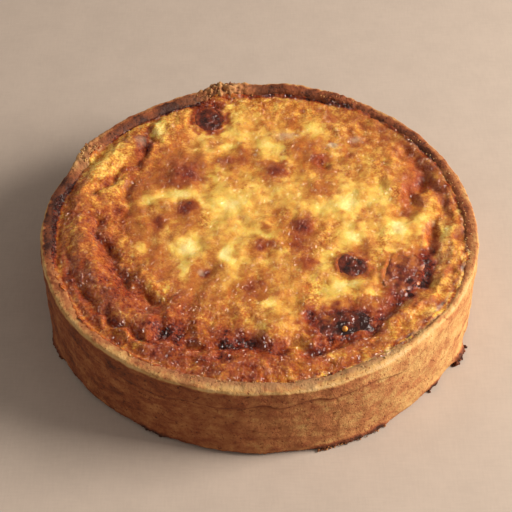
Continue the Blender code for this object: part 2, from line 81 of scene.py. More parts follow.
# Marks on the rim, from the right (0 degrees) round by the back (90 degrees)
RIM_MARKS = from_mm(
    "angle_deg half_deg outward upward",
    (38, 16, 0.3, 0.4), (67, 4, 0.2, 1.2), (80, 7, 0.3, 1.1), (95, 3, 0.2, 1.4), (102, 4.5, 0.5, 3.4),
    (113, 5, 0.2, 0.8), (124, 16, -0.2, -0.1), (149, 3.5, 0.4, 1.5), (160, 7, -1.2, -0.6),
    (-127, 24, 0.9, -0.2),
)
CRAG_ANGLE_DEG = 99
CRAG_HALF_DEG = 9
CRAG_ROUGHNESS = 0.0012
CRAG_CELL_DEG = 4
CRAG_SEED = 21

# Crumbs that leaked and burnt onto the foot of the wall
FOOT_MARKS = from_mm(
    "angle_deg half_deg outward",
    (-25, 2.7, 3.4), (-38, 1.8, 1.2), (-59, 2.6, 1.5), (-66, 3, 1.6), (-73, 3, 1.2), (-118, 3, 1),
    (-158, 3.6, 2.2), (60, 3, 1.2), (135, 3, 1),
)
FOOT_BLUNTNESS = 1.6

# Section of the case. Foot: inward from the base's radius, share of a foot mark, height
FOOT_PROFILE = ((0.0022, 0.85, 0.0), (0.0005, 1.0, 0.0012), (0.0, 0.60, 0.0030))
WALL_LEVELS = (0.0062, 0.0140, 0.0230)
# Rim outside: inward from its outer edge, below its crest. Rim inside: outward from its inner side
RIM_OUTSIDE = ((0.0, 0.0040), (0.0001, 0.0016), (0.0005, 0.0005), (0.0013, 0.0))
RIM_LAP_SHARE = 0.5
# In front on the right the lapped band slopes outward from the crest
BAND_SLOPE = 0.0018
BAND_SLOPE_DEG = -50
BAND_SLOPE_HALF_DEG = 24
BAND_SLOPE_SHARES = (0.25, 0.75, 1.0, 1.0)
RIM_INSIDE = ((0.0028, 0.0002), (0.0010, 0.0011), (0.0, 0.0030))
# Inside: inward from the inner side, above the floor
FLOOR_PROFILE = ((0.0004, 0.0120), (0.0012, 0.0020), (0.0036, 0.0))

# The upper band of pastry laps over the wall and ends in a wavy crease, deepest in front
CREASE_POINTS = from_mm(
    "angle_deg height",
    (-160, 34), (-135, 32.5), (-114, 30.2), (-108, 33), (-99, 32.5), (-93, 33.3), (-89, 36.2),
    (-86, 32.5), (-83, 33.2), (-77, 37.4), (-73, 34), (-69, 34.6), (-64, 37.2), (-59, 35.9), (-52, 31.8),
    (-48, 36.2), (-42, 38.2), (-36, 38.3), (-15, 34), (40, 34.5), (110, 33.5),
)
CREASE_SMOOTHING_DEG = (-1.6, -0.8, 0.0, 0.8, 1.6)
CREASE_UNDER = 0.0009
CREASE_OVER = 0.0004
LAP_FRONT_DEG = -80
LAP_HALF_DEG = 55
LAP_LEAST = 0.3

# How far in from the case the custard's edge follows it
EDGE_WIDTH = 0.007

# How far the custard's edge stands above or below its middle: nearly level with the rim on the right
EDGE_POINTS = from_mm(
    "angle_deg rise",
    (-150, -0.2), (-100, -0.2), (-70, 0.4), (-45, 1.2), (-10, 1.5), (25, 1.5), (50, 1.2), (66, 0.4),
    (90, -0.8), (140, -0.8), (170, -0.3),
)
RING_RISE = 0.0013
RING_RISE_TO_LEFT = 0.0009
RING_DROP_TO_BACK = 0.0007
MIDDLE_RISE_TO_RIGHT = 0.0012
MIDDLE_RISE_TO_FRONT = 0.0004
RING_CROWDING = 0.85
HILLS = ((0.0110, 0.0007, 11), (0.0060, 0.0005, 12))

# Folds wander from their paths and are uneven along them
FOLD_CELL = 0.0090
FOLD_WANDER = 0.0030
FOLD_UNEVENNESS = 0.55
WANDER_SEEDS = (14, 15, 16)
PATH_STEPS = 6

# Folds and grooves of the custard's skin: corners of a smooth path in millimetres, half width, rise
ROLL_LEFT = ((-86, 22), (-81, -4), (-74, -24), (-66, -41), (-50, -60))
GROOVE_LEFT = ((-78, 4), (-73, -9), (-67, -22), (-61, -34), (-47, -46))
GROOVE_RIM = ((-88, -18), (-83, -32), (-77, -45), (-67, -57), (-52, -67))
RIDGE_RIM = ((-90, -22), (-85, -37), (-77, -50), (-66, -63), (-50, -74))
GROOVE_BACK = ((-54, 69), (-54.5, 57), (-59, 46), (-67, 36), (-78, 22))
GROOVE_MIDDLE = ((-60, 40), (-62, 26), (-62.5, 10))
HOLLOW_FRONT = ((-34, -71), (-22, -73), (-10, -70), (4, -73), (18, -72))
TRENCH_FRONT = ((19, -77), (34, -70), (48, -62), (60, -46), (72, -35))
TRENCH_RIGHT = ((72, -35), (76.5, -24), (78.5, -12), (80, 0))
TRENCH_BACK = ((67, 10), (71.5, 18), (76.5, 28), (77, 40), (72.5, 52))
TRENCH_BRANCH = ((74, 31), (82, 29), (86.5, 21), (88, 11))
RIDGE_RIGHT = ((89, 20), (90.5, 4), (88.5, -14), (82, -33), (70, -52))
FOLDS = from_mm(
    "path half_width rise",
    (ROLL_LEFT, 5, 1.5), (GROOVE_LEFT, 3.1, -2.4), (GROOVE_RIM, 2.1, -1.8), (RIDGE_RIM, 2.2, 1.1),
    (GROOVE_BACK, 2.2, -2), (GROOVE_MIDDLE, 2.8, -1.1), (HOLLOW_FRONT, 3.6, -3), (TRENCH_FRONT, 3, -2.6),
    (TRENCH_RIGHT, 3, -2), (TRENCH_BACK, 4.2, -1.7), (TRENCH_BRANCH, 3.6, -1.6), (RIDGE_RIGHT, 2.1, 1.2),
)

# Lumps and pits of the custard: centre, half length, half width, rise, turn in degrees
LUMPS = from_mm(
    "x y half_length half_width rise turn_deg",
    (-40, -53, 5.5, 4.5, 2.4, 30), (-42, -65.5, 4.5, 3.2, -3.6, -40), (-33, -63, 4, 3.4, -2.2),
    (-54, -34, 8, 4.5, 1.8, 65), (-46, -37, 6, 4.5, 1.6, 40), (-78, 43, 12, 8, 1.2, 60),
    (-66, 55, 9, 7, 1.2, 40), (-46, 66, 8, 9, 1.4), (-52, 54, 2.2, 2.6, 1.2), (-37, 36, 7.5, 8.5, 1),
    (63, 41, 8, 10, 1.7), (66, 23, 5, 6.5, 1.4), (78, 20, 5, 6, 1.6), (74, 3, 8, 5, 1.2, 60),
    (85, -12, 4.5, 11, 1, -10), (66, -50, 12, 6, 1.2, 45), (48, -36, 11, 7, 1.2), (8, -59, 12, 8, 1.5),
    (-22, -47, 12, 9, 0.8), (26, 56, 11, 6, 1, 20), (30, 43, 3, 2.8, -2.4), (-24, -29, 3, 3.4, -1.2),
    (24, -56, 2.6, 3, -1.6), (-15, -79, 4, 3, -1.8), (-36, -14, 8, 6, -1, 30), (0, 12, 15, 6, -0.8, 25),
    (8, 38, 4.5, 4.5, 0.7), (20, -1, 5, 6, 0.8), (-34, 13, 4.5, 4.5, 0.7),
)

# The browned ring: angle, where it starts, and how brown it is (0 pale, 1 burnt)
RING_LEVELS = from_mm(
    "angle_deg start level",
    (0, 80, 0.44), (18, 74, 0.5), (40, 72, 0.54), (62, 74, 0.46), (90, 80, 0.38), (118, 74, 0.38),
    (140, 66, 0.4), (160, 66, 0.46), (180, 62, 0.56), (210, 58, 0.62), (240, 54, 0.64), (270, 62, 0.64),
    (300, 68, 0.5), (330, 78, 0.43),
)
RING_BLEND = 0.014
MIDDLE_LEVEL = 0.30
HALO_LEVEL = 0.50

# Stains of the custard's skin: centre, half length, half width, how brown, turn in degrees
STAINS = from_mm(
    "x y half_length half_width level turn_deg",
    # broad tones
    (-59, -2, 9, 24, 0.44), (-56, 38, 7, 12, 0.62, 20), (-46, 51, 13, 10, 0.54, -35),
    (-46, -31, 9, 14, 0.47, 20), (-36, -46, 12, 8, 0.47, -30), (-16, -52, 16, 8, 0.42),
    (-27, -25, 7, 5, 0.4, 20), (18, 10, 8, 7, 0.28, 40), (33, 1, 5, 6, 0.33), (47, -16, 6, 9, 0.48, -20),
    (20, 44, 7, 12, 0.36, -15), (33, 35, 7, 6, 0.46), (20, -57, 5, 9, 0.54), (44, -49, 10, 5, 0.52, 10),
    (22, 18, 26, 11, 0.25), (-45, 37, 15, 12, 0.4), (-21, 34, 12, 12, 0.15), (-30, -45, 22, 10, 0.42),
    (55, -16, 8, 10, 0.3, -30), (60, 28, 12, 22, 0.38), (38, 55, 16, 9, 0.42, -20),
    (-5, -34, 20, 10, 0.35), (12, -59, 5, 10, 0.33), (-72, 46, 13, 9, 0.29, 55), (-81, 36, 7, 6, 0.34),
    (-51, 67, 6, 10, 0.08), (-31, 70, 4, 7, 0.24), (79, 17, 5, 9, 0.33), (65, 46, 6, 11, 0.42),
    (60, 21, 6, 7, 0.3), (-86, -6, 5, 12, 0.46), (-36, -53, 9, 12, 0.63), (-40, -33, 11, 8, 0.5),
    (-59, -44, 7, 10, 0.74, 40), (-66, 8, 6, 14, 0.6), (-61, 29, 6, 6, 0.62), (-27, 16, 9, 6, 0.12),
    (3, -4, 12, 5, 0.18, -20), (-12, -31, 6, 7, 0.27), (41, 24, 10, 7, 0.19, -20), (58, 20, 6, 10, 0.2),
    (36, 51, 12, 6, 0.24), (70, 26, 4, 7, 0.62), (1, 87, 8, 4, 0.5), (-40, 66, 4, 6, 0.56),
    (-12, 80, 5, 9, 0.2), (-22, 64, 6, 3, 0.22), (71, -47, 7, 4, 0.56, 45), (-12, -87, 10, 4, 0.64),
    (1, -62, 6, 5, 0.22), (-72, 31, 7, 6, 0.17), (-7, 21, 6, 5, 0.22), (17, -71, 5, 6, 0.22),
    (34, 28, 8, 5, 0.23), (-18, -26, 6, 5, 0.28), (-12, 32, 5, 5, 0.4), (-18, -6, 10, 4, 0.31),
    (-48, -15, 6, 6, 0.5), (-35, -78, 6, 6, 0.7), (6, -78, 6, 6, 0.64), (-39, 23, 10, 6, 0.13),
    (-4, 45, 5, 4, 0.25), (14, 30, 9, 6, 0.22), (-21, 6, 6, 5, 0.22), (-8, 5, 6, 5, 0.26),
    (4, -21, 7, 4, 0.26), (69, 61, 6, 6, 0.34), (87, 14, 4, 5, 0.36), (80, -36, 5, 5, 0.34),
    (-58, -60, 6, 6, 0.5), (-63, 55, 4, 5, 0.48), (63, -41, 8, 4, 0.84, 40), (-83, 10, 6, 9, 0.6),
    (83, -5, 4, 7, 0.27), (30, 12, 6, 5, 0.17), (-79, 27, 4, 6, 0.44), (-79, 47, 3, 4, 0.46),
    (78, 26, 4, 4, 0.3), (13, 41, 3, 4, 0.24), (26, -27, 4, 6, 0.12), (-50, -42, 4, 6, 0.28, 30),
    (-68, -37, 3, 8, 0.76, 35), (-56, -48, 6, 4, 0.76, -40), (-46, -58, 4, 7, 0.74),
    (73, -29, 4, 8, 0.82, -12), (10, -28, 6, 5, 0.38), (34, -17, 5, 4, 0.14), (47, -31, 5, 4, 0.48),
    (-75, 16, 8, 4, 0.52), (26, 4, 6, 4, 0.22), (14, 39, 4, 6, 0.16, 20),
    # pale pools that are only just set
    (-34, -13, 6.6, 5.6, 0.06, 20), (-34, -27, 3, 7, 0.12), (-54, -13, 3.2, 3.6, 0.2),
    (-15, -18, 3.5, 6, 0.05), (-50, 19, 6.5, 3, 0.1), (-13, 15, 6, 4, 0.08, 10), (-16, 56, 4, 2.8, 0.08),
    (-25, 49, 3.5, 2.2, 0.12), (4, 56, 6, 4.5, 0.12), (12, 62, 7, 4, 0.32), (11, 48, 5, 8, 0.12),
    (26, 68, 7, 6, 0.15), (43, -6, 5.5, 6.5, 0.08), (40, 15, 5.5, 5, 0.07), (63, -1, 4.5, 5, 0.03),
    (39, -36, 7, 3.6, 0.04), (49, -42, 6, 2.4, 0.22, -25), (2, -47, 4.5, 2.6, 0.06),
    (76, 5, 6, 3.5, 0.18, 30), (75, -4, 3, 4, 0.22), (-42, -40, 1.6, 4.5, 0.12),
    (-22, -51, 5, 6.5, 0.44), (87, -11, 3, 6, 0.46),
    # browned spots
    (-38, 36, 9.5, 10.5, 0.62), (-34, 37, 4.6, 5, 0.82), (-34, 13.5, 4.2, 5.4, 0.82),
    (-46.5, 4.5, 3, 4.5, 0.74), (-34, 4, 5, 4.8, 0.46), (-13, 45.5, 6.8, 3, 0.66),
    (-6.5, 52.5, 3.8, 2.8, 0.5), (8, 38, 5.2, 5, 0.8), (29.5, 25, 8.2, 5.8, 0.5),
    (23, 52, 6.5, 8.5, 0.47), (29, 45, 3.4, 5.2, 0.72), (47, 59, 4.5, 3.4, 0.56),
    (43, 48, 2.4, 2.4, 0.62), (19.5, -1, 5.2, 5.8, 0.8), (18, -11, 3.4, 5.2, 0.66),
    (21.5, -22.5, 2.6, 4, 0.7, 20), (1.5, -12, 3.4, 3.8, 0.78), (3, 0, 2.2, 2.2, 0.52),
    (8.5, 7.5, 4.8, 5, 0.42), (-20.5, -27, 4.2, 4.2, 0.46), (-25, -29, 2, 2.6, 0.9),
    (-3, -38, 3.2, 6.2, 0.62), (-12, -41, 2.4, 2.4, 0.5),
    # the browned ring's own marks
    (-56.5, 57, 4.2, 7.2, 0.84), (-55, 56, 1.4, 6.2, 0.97), (-44, -57, 5, 4.8, 0.7),
    (-42, -65, 3.4, 3.4, 0.97, -40), (-35, -62, 4.2, 4.8, 0.84), (-36.5, -70, 3.6, 4.4, 0.86, 20),
    (-8, -70, 11, 4.8, 0.84), (7, -72.5, 6.4, 3.4, 0.74, -10), (-26, 87.5, 7, 4.5, 0.84, 15),
    (-31, 81, 3, 5, 0.64, 10), (23.5, -55.5, 3, 3.5, 0.92), (29, -64, 4, 5, 0.74),
    (48, -60, 4, 4, 0.86, 40), (72, -27, 2.4, 8, 0.84, -10), (48, -14, 3.4, 6, 0.42, -30),
    (75, 38, 5, 11, 0.58), (80, 47, 4, 7, 0.6, 30), (-14.5, -79, 3.2, 2.8, 0.88),
    (-10, -86, 3.2, 2.8, 0.4), (33, -78, 3.4, 3, 0.38), (16, 73, 5.5, 5.2, 0.5), (85, 24, 3.6, 5, 0.62),
    (78, 22, 2.2, 2.8, 0.46), (85, -4, 4.6, 6, 0.24), (-29, 87, 6, 5, 0.86), (-13, 74, 3, 5, 0.24),
    (41.6, -25.2, 9, 7.6, 0.5, -30), (-52, 75, 3.6, 5, 0.42), (-60.5, -42, 5, 8, 0.8, 40),
    (-75, -10, 4.4, 8, 0.62), (-13, -71, 4, 7, 0.86), (-35.5, -56, 3, 10, 0.72), (-12, -84, 3, 8, 0.72),
    (22, -87, 4, 3.2, 0.66), (90, -8, 2.6, 6, 0.6), (16.5, 53, 3, 8, 0.48), (67, 56, 4, 5, 0.52),
    (-81.5, 27, 2.8, 5, 0.62), (3, 88, 10, 3, 0.46), (-50, 66, 4, 6, 0.12), (-74, 29, 3.6, 6, 0.18),
    (-37, 22.5, 8, 3.6, 0.12), (77, -36, 3.6, 4.6, 0.24), (80, -17, 2.8, 4, 0.2),
    (-54, -47, 4.6, 3, 0.82, -40), (-48.5, -42, 2.6, 5.6, 0.22, 20), (-47, -58, 3.4, 6, 0.86),
    (-37, -64, 3.4, 6, 0.88), (-11, -69, 5, 3, 0.94), (25, -73, 3.6, 3.6, 0.76), (10, -90, 5, 4, 0.4),
    (28, -33, 4, 5, 0.32),
)
DARK_STAIN = 0.6
STAIN_FADE = 2
DARK_STAIN_FADE = 2.5
HALO_REACH = 1.7
HALO_STRENGTH = 0.8

# Painted shade along the foot of the right piece of bacon
SHADE_BY_RIGHT_BACON = ((60, -43), (66, -40), (73, -30), (76, -18))

# Browning along the grooves and ridges, which in the grooves is partly painted shade, and painted shade by
# the right piece of bacon: path, half width, how brown
STREAKS = from_mm(
    "path half_width level",
    (GROOVE_LEFT, 3.8, 0.72), (GROOVE_RIM, 2.2, 0.74), (GROOVE_BACK, 1.7, 0.7),
    (TRENCH_FRONT, 3.2, 0.76), (TRENCH_RIGHT, 2.8, 0.74), (TRENCH_BACK, 3.6, 0.64),
    (TRENCH_BRANCH, 2.6, 0.66), (SHADE_BY_RIGHT_BACON, 3.6, 1),
)
STREAK_STRENGTH = 0.75

# Grey, ashen places where the cream has split: centre, half sizes, amount
ASHES = from_mm(
    "x y half_length half_width amount",
    (13, 63, 5.6, 3, 0.42), (36, 56, 2.6, 2, 0.7), (47, 60.5, 3.2, 2.2, 0.45), (-2, 50, 1, 1, 0.6),
    (-26.5, -28, 1.4, 1.8, 0.5), (-58, 59, 3, 4, 0.3),
)

# Burnt drips over the rim: angle, half width, where they start across the rim (0 outer edge,
# 1 inner edge), how far they reach inward over the custard, amount
BURNS = from_mm(
    "angle_deg half_deg edge_share inward amount",
    (88, 9, 0.3, 1.6, 0.72), (75, 8, 0.32, 1.6, 0.68), (66, 7, 0.24, 1.4, 0.9), (54, 8, 0.4, 0.4, 0.45),
    (42, 7, 0.3, 0.3, 0.32), (31, 6, 0.42, 0.3, 0.65), (110, 4, 0.3, 2, 0.9), (117, 7, 0.34, 2.4, 0.8),
    (127, 7, 0.48, 1, 0.5), (138, 7, 0.52, 1, 0.8), (163, 5, 0.12, 0.4, 1), (174, 9, 0.22, 0.8, 1),
    (186, 8, 0.28, 0.8, 1),
)
BURNT_SKIN = 1.12
BURNT_PASTRY = 0.98
SINGED = 0.85
# Widths of fading edges: of a drip on the skin, of a drip as a share of the rim, of the burnt fringe
BURN_FADE = 0.0014
BURN_FADE_SHARE = 0.14
FRINGE_WIDTH = 0.0012

# Custard that rose over the rim's inner edge: angle, half width, how far outward, how burnt its
# edge is, how much of it dried to a pale crumbly crust
SPILLS = from_mm(
    "angle_deg half_deg outward burnt crumbly",
    (173, 16, 3.4, 1), (198, 13, 3.6, 0.8), (218, 13, 3.4, 0.15), (238, 14, 3, 0.1, 0.2),
    (256, 10, 1.8, 0.2, 0.3), (-70, 10, 2, 0.2, 0.9), (-52, 14, 4.6, 0.3, 1), (-32, 14, 4.8, 0.5, 1),
    (-12, 12, 3.8, 0.6, 0.9), (8, 12, 2.6, 0.6, 0.7), (26, 12, 2.4, 0.6, 0.6), (44, 12, 2.4, 0.7, 0.3),
    (60, 10, 1.8, 0.9, 0.2), (145, 10, 1.6, 0.3),
)
SPILL_UNEVENNESS = 0.25
SPILL_LEAST = 0.0004
SPILL_MOST = 0.0053
SPILL_RAGGED = 0.0007
SKIN_OVER_RIM = 0.00025
SKIN_BLEND = 0.0003
# The spilled skin thins out to its edge: by how much, over what distance, and how much more of both
# where it is crumbly
SPILL_THINNING = 0.0007
SPILL_TAPER = 0.0009
CRUMBLY_THINNING = 0.0003
CRUMBLY_TAPER = 0.0018
# Spilled custard that dried to a crust: from how far inside the case, over what distance
CRUST_START = 0.0016
CRUST_FADE = 0.0020
DRIED_LEVELS = (0.30, 0.86)
DRIED_ASH = (0.0, 0.5)

# The custard's side under its rim: inward from the case, above its foot, which clears the floor
CUSTARD_SIDE = ((0.0045, 0.0), (0.0020, 0.0021), (0.0011, 0.0117))
CUSTARD_CLEARANCE = 0.0003

# Finely wrinkled places that sparkle: centre, half sizes, how wrinkled, turn in degrees
WRINKLES = from_mm(
    "x y half_length half_width amount turn_deg",
    (-25, 4, 3.5, 6, 1), (-8, 25, 2, 5, 0.7, -35), (-15, 29, 2.5, 2.5, 0.7), (12, 8, 2.2, 4.2, 0.8),
    (31, -8, 4, 12, 0.9, -28), (20, -15, 5, 5, 0.8), (24, -40, 5, 14, 1, -10),
    (56, -12, 4, 13, 0.9, -20), (30, 43, 3.5, 4, 1), (42, 38, 4, 5, 0.6), (57, 40, 5, 12, 0.8),
    (64, 22, 7, 6, 0.9), (36, 56, 4, 4, 0.8), (-10, -52, 14, 8, 0.8), (-40, -40, 8, 9, 0.7),
    (-54, -30, 6, 9, 0.8), (-40, 60, 6, 9, 0.6), (44, -44, 6, 5, 0.6),
)

# Bacon pieces: middle of the bed in the custard's top, half sizes, turn and tilts in degrees, seed,
# how charred, how much more so per metre to the right and to the front (partly char, partly painted shade),
# how brown the skin is round it
LARDONS = from_mm(
    "name place half_sizes turn_deg tilt_deg pitch_deg seed charred burnt_side border",
    ("lardon_back_left", (-25.2, 76.2, 40.8), (8.8, 10.8, 4.6), 14, 3, 2, 3, 0.6, 14, 0.76),
    ("lardon_centre_right", (41.6, -25.2, 41.9), (8.8, 7.4, 4.2), -30, 0, 1, 5, 0.64, 16, 0.62),
    ("lardon_right", (64, -28.8, 41.8), (14.8, 9.8, 5), 66, 3, 2, 8, 0.4, 26, 0.5),
    ("lardon_front_right", (36, -58.5, 40.7), (15.8, 9, 5), 12, 0, -1, 13, 0.62, 30, 0.84),
)
LARDON_PROUD = 0.0010
LARDON_SQUARENESS = 3.2
LARDON_ROUGHNESS = 0.10
LARDON_CELL = 0.55
BED_REACH = 1.15
BED_STEEPNESS = 6
BORDER_REACH = 1.04
BORDER_STEEPNESS = 6
SIDE_SHARE = 0.7
LARDON_FINENESS = 6

# Skin that crept up the sides of the bacon: where it is thickest, how wide, how thick
CREEP_AT = 0.87
CREEP_HALF_WIDTH = 0.14
CREEP_RISE = 0.0009

# Fat along the edge of the bacon: where it starts and over how much it rises, how much paler it is
FAT_EDGE = (0.5, 0.4)
FAT_PALER = 0.60

BEAD_FINENESS = 4
BEAD_RADIUS = 0.0013
BEAD_PLACE = (0.0368, -0.0628, 0.0422)

# Loose crumbs baked on: angles from and to, distances out from the foot or in from the rim's outer
# edge, heights or heights above the crest, radii from and to, how many, browning from and to
CRUMB_PATCHES = from_mm(
    "on_rim angles aways heights radii count levels",
    (False, (-29, -21), (-1, 2.6), (0.2, 1.6), (0.5, 0.9), 50, (0.72, 0.95)),
    (False, (-40, -36), (-1, 0.6), (0.2, 1.2), (0.4, 0.7), 12, (0.7, 0.95)),
    (False, (-76, -56), (-1, 1), (0.2, 1.8), (0.3, 0.6), 90, (0.35, 0.9)),
    (False, (-161, -154), (-1, 1.2), (0.2, 1.6), (0.4, 0.8), 26, (0.8, 0.95)),
    (False, (57, 63), (-1, 0.8), (0.2, 1.4), (0.4, 0.8), 20, (0.7, 0.95)),
    (False, (132, 138), (-1, 0.8), (0.2, 1.4), (0.4, 0.8), 20, (0.7, 0.95)),
    (True, (92, 110), (0.6, 6.8), (-1, -0.2), (0.2, 0.5), 140, (0.2, 0.8)),
    (True, (145, 153), (0.6, 6.4), (-0.9, -0.1), (0.3, 0.6), 110, (0.05, 0.55)),
    (True, (60, 72), (1, 5), (-0.8, -0.1), (0.3, 0.6), 60, (0.3, 0.9)),
    (True, (-64, -20), (3, 7), (-0.3, 0.3), (0.2, 0.4), 120, (-0.1, 0.45)),
    (True, (-20, 40), (3.4, 6.6), (-0.3, 0.3), (0.2, 0.4), 90, (-0.05, 0.55)),
    (True, (-110, -64), (4, 7.2), (-0.3, 0.2), (0.2, 0.4), 70, (0, 0.6)),
)
CRUMB_SEED = 90
CRUMB_FINENESS = 1
CRUMB_UNEVENNESS = 0.18
CRUMB_WAVE = 2.6
CRUMB_SQUASH = (0.7, 1.2)
CRUMB_LEAST_HEIGHT = 0.7

# Pinholes in the wall: angle in degrees, height
PINHOLES = from_mm(
    "angle_deg height",
    (-71, 31.4), (-71.6, 23.5), (-78.3, 23.9), (-85.2, 19.2), (-91.4, 17.5), (-100.6, 13.9),
    (-102.5, 5.1),
)
PINHOLE_RADIUS = 0.0006
PINHOLE_DEPTH = 0.0009

# Noises of the skin and the bacon: size, width of a hill, seed and, if it isn't 64, the lattice's side
CLOUDS = ((0.10, 0.0120, 45),)
FINER_CLOUDS = ((0.08, 0.0062, 46),)
TORN_SKIN = ((0.10, 0.0034, 53),)
STAIN_WANDER_X = ((0.0018, 0.0070, 41), (0.0009, 0.0032, 42))
STAIN_WANDER_Y = ((0.0018, 0.0070, 43), (0.0009, 0.0032, 44))
RAGGED_STAINS = ((0.28, 0.0042, 47), (0.18, 0.0024, 48, 128))
SPILL_EDGE = ((1, 0.060, 37), (0.6, 0.025, 39, 256))
CRINKLE_PATCHES = ((0.50, 0.0080, 36),)
CRINKLE_WANDER_X = ((0.0012, 0.0050, 31),)
CRINKLE_WANDER_Y = ((0.0012, 0.0050, 32),)
RAGGED_WRINKLES = ((0.35, 0.0050, 55),)
RAGGED_ASHES = ((0.35, 0.0026, 51),)
CREEP_PATCHES = ((0.9, 0.0048, 52),)
CRUST_WANDER = ((0.0009, 0.0040, 54),)
CRUST_CRUMBS = ((0.00045, 0.0031, 56, 128),)
SOFT_BUMPS = ((0.00026, 0.0065, 33), (0.00008, 0.0032, 38))
BROWN_BUMPS = ((0.00030, 0.0054, 34), (0.00020, 0.0027, 29, 128))
FINE_MOTTLE = ((0.08, 0.0046, 49), (0.05, 0.0026, 50, 128))
BACON_WRINKLES = ((0.00050, 0.0058, 82), (0.00036, 0.0030, 83))
BACON_CHAR = ((0.34, 0.0048, 84),)

# Round bumps with sharp valleys: size, width, seed
BLISTERS = (0.00030, 0.0042, 35)
CRUST_LUMPS = (0.00040, 0.0040, 57)

# Streaks round the tart: how many in one turn, how wide, seed
PLEATS = (56, 0.0032, 30)
PLEAT_HEIGHT = 0.00026
ASH_STREAKS = (96, 0.0021, 58)
DRIED_STREAKS = (96, 0.0021, 59)

# Relief of the skin that counts as full, and the same for its folds and lumps
FULL_RELIEF = 0.0006
FULL_FORM = 0.001

# Noises of the pastry: size, width and height of a hill, seed
CASE_BUMPS = ((0.00009, 0.0017, 0.0017, 61), (0.00036, 0.009, 0.009, 63), (0.00020, 0.0046, 0.0046, 89))
WALL_STREAKS = ((0.00012, 0.022, 0.0026, 64), (0.00014, 0.060, 0.0052, 65))
RIM_CRUMB = ((0.00016, 0.0052, 0.0052, 66), (0.000112, 0.0026, 0.0026, 67))
RIM_RIDGES = ((0.00034, 0.045, 0.0021, 70),)
BROKEN_CRUMB = ((0.6, 0.0022, 0.0022, 78),)
RIM_CLOUDS = ((0.30, 0.0080, 0.0040, 79),)
RIM_STREAKS = ((0.10, 0.0300, 0.0018, 80),)
SEEP_WANDER = ((0.0006, 0.0060, 0.0100, 88),)
GAPING = ((0.9, 0.012, 1, 69),)
SCUFFS = ((1, 0.0180, 0.0022, 81),)
FOOT_CLOUDS = ((0.16, 0.0050, 0.0030, 71),)
CASE_GRAIN = ((1, 0.0023, 0.0020, 74),)
CASE_MOTTLE = ((0.08, 0.0110, 0.0080, 72), (0.06, 0.0050, 0.0040, 73))
RAGGED_BURNS = ((0.13, 0.0045, 0.0025, 75), (0.08, 0.0022, 0.0022, 76))
DUST_EDGE = ((0.35, 0.0070, 0.0035, 86), (0.15, 0.0026, 0.0026, 87))

# Tones round the pastry: how much browner, at what angle, over what half width in degrees
WALL_TONES = ((0.24, -140, 62), (-0.07, -25, 40), (0.06, 120, 60))
RIM_TONES = (
    (0.14, 90, 60), (0.18, 0, 32), (0.12, -135, 40), (0.20, 128, 22), (0.14, 40, 18), (0.07, -97, 26),
    (-0.08, -52, 18),
)
BAND_TONES = ((-0.10, -52, 18),)
DUST_TONES = ((0.55, 101, 9), (0.9, 151, 6))
RAGGED_RIM = ((1, 101, 8), (0.7, 149, 7), (0.25, 66, 12))
# The same for how crinkled the custard's ring is
RING_CRINKLE = ((0.40, 190, 80), (-0.30, 35, 22))

# Where the rim is ridged, the wall scuffed, the rim dusty, the crease cracked and shade painted along the
# crack:
# angle and half width in degrees
RIDGED_AT = (-45, 40)
SCUFFED_AT = (-55, 26)
DUSTY_AT = (-75, 36)
CRACKED_AT = (-86, 56)
CREASE_SHADE_AT = (-86, 54)

# How brown the parts of the pastry are, then how deep its crack, its crag and its rough foot
WALL_LEVEL = 0.40
BAND_LEVEL = 0.05
RIM_LEVEL = 0.22
RIM_LEVEL_INSIDE = 0.20
CRUMB_LEVEL = 0.32
FOOT_LEVEL = 0.90
CRACK_DEPTH = 0.0010
CRAG_DEPTH = 0.0020
FOOT_ROUGHNESS = 0.0012

# Where a look sets in: the value at which it starts, and over how much it rises to the full.
# Levels of browning: pale skin tears, skin crinkles, skin is mottled
TORN_LEVELS = (0.22, 0.10)
CRINKLED_LEVELS = (0.12, 0.35)
MOTTLED_LEVELS = (0.08, 0.25)
# Heights above the crease, of the crag's broken crumb and of the lapped band
CRAG_ABOVE = (0.003, 0.005)
BAND_ABOVE = (0, 0.001)
# Heights above the table, where the looks of the foot begin to end
CRUMBLY_FOOT_END = (0, 0.005)
BROWN_FOOT_END = (0.0006, 0.0028)
BURNT_FOOT_END = (0.003, 0.002)
# Shares of the way across the rim: it darkens, and it is dusty
DARKER_ACROSS = (0.35, 0.5)
DUSTY_ACROSS = (0.32, 0.2)
# Noise that counts as a scuff, depth of a dip that gets painted shade
SCUFF_HEIGHTS = (0.2, 0.5)
SHADED_DIP_DEPTHS = (0.0001, 0.0005)
# Fine rows past the rim's outer edge, or past its inner edge where the rim ends
RIM_FROM_ROW = (-2, 3)
WALL_TO_ROW = (-1, 3)
RIM_TO_ROW = (4, 3)
# Share of the bacon's half height, above which it is wrinkled
WRINKLED_BACON = (0, 0.5)

# Narrow bands: middle and half width. Scuffs above the crease, the painted highlight along the rim's outer
# edge across its width, the custard that seeped past its edge, the painted shade of the crack's line and its
# groove above the crease
SCUFF_BAND = (-0.0012, 0.0016)
EDGE_HIGHLIGHT_BAND = (0.06, 0.10)
SEEP_BAND = (0.0004, 0.0009)
CREASE_SHADE_BAND = (0, 0.0006)
CRACK_BAND = (0, 0.0005)

# Camera and light
FOCAL_PIXELS = 1480
PHOTO_PIXELS = 512
SENSOR_WIDTH = 36
CAMERA_TILT_DEG = 46.2
CAMERA_DISTANCE = 0.7
CAMERA_TARGET = (-0.0015, 0.002, 0.020)
LAMP_PLACE = (1.03, -0.04, 0.60)
LAMP_SIZE = 0.6
LAMP_WATTS = 28
LAMP_COLOUR = "#FFF4E8"
ROOM_COLOUR = "#BCB2AA"
FLOOR_HALF = 3.0
# The room's strength falls toward the back and up, less what falls toward the front: each with its
# direction, how far toward it the fall starts and ends, and the strengths there
ROOM_FALLS = (((0, 0.69, 0.72), (0.2, 0.95, 1.64, 0.28)), ((0, -1, 0.1), (0.2, 0.9, 0.0, 1.15)))


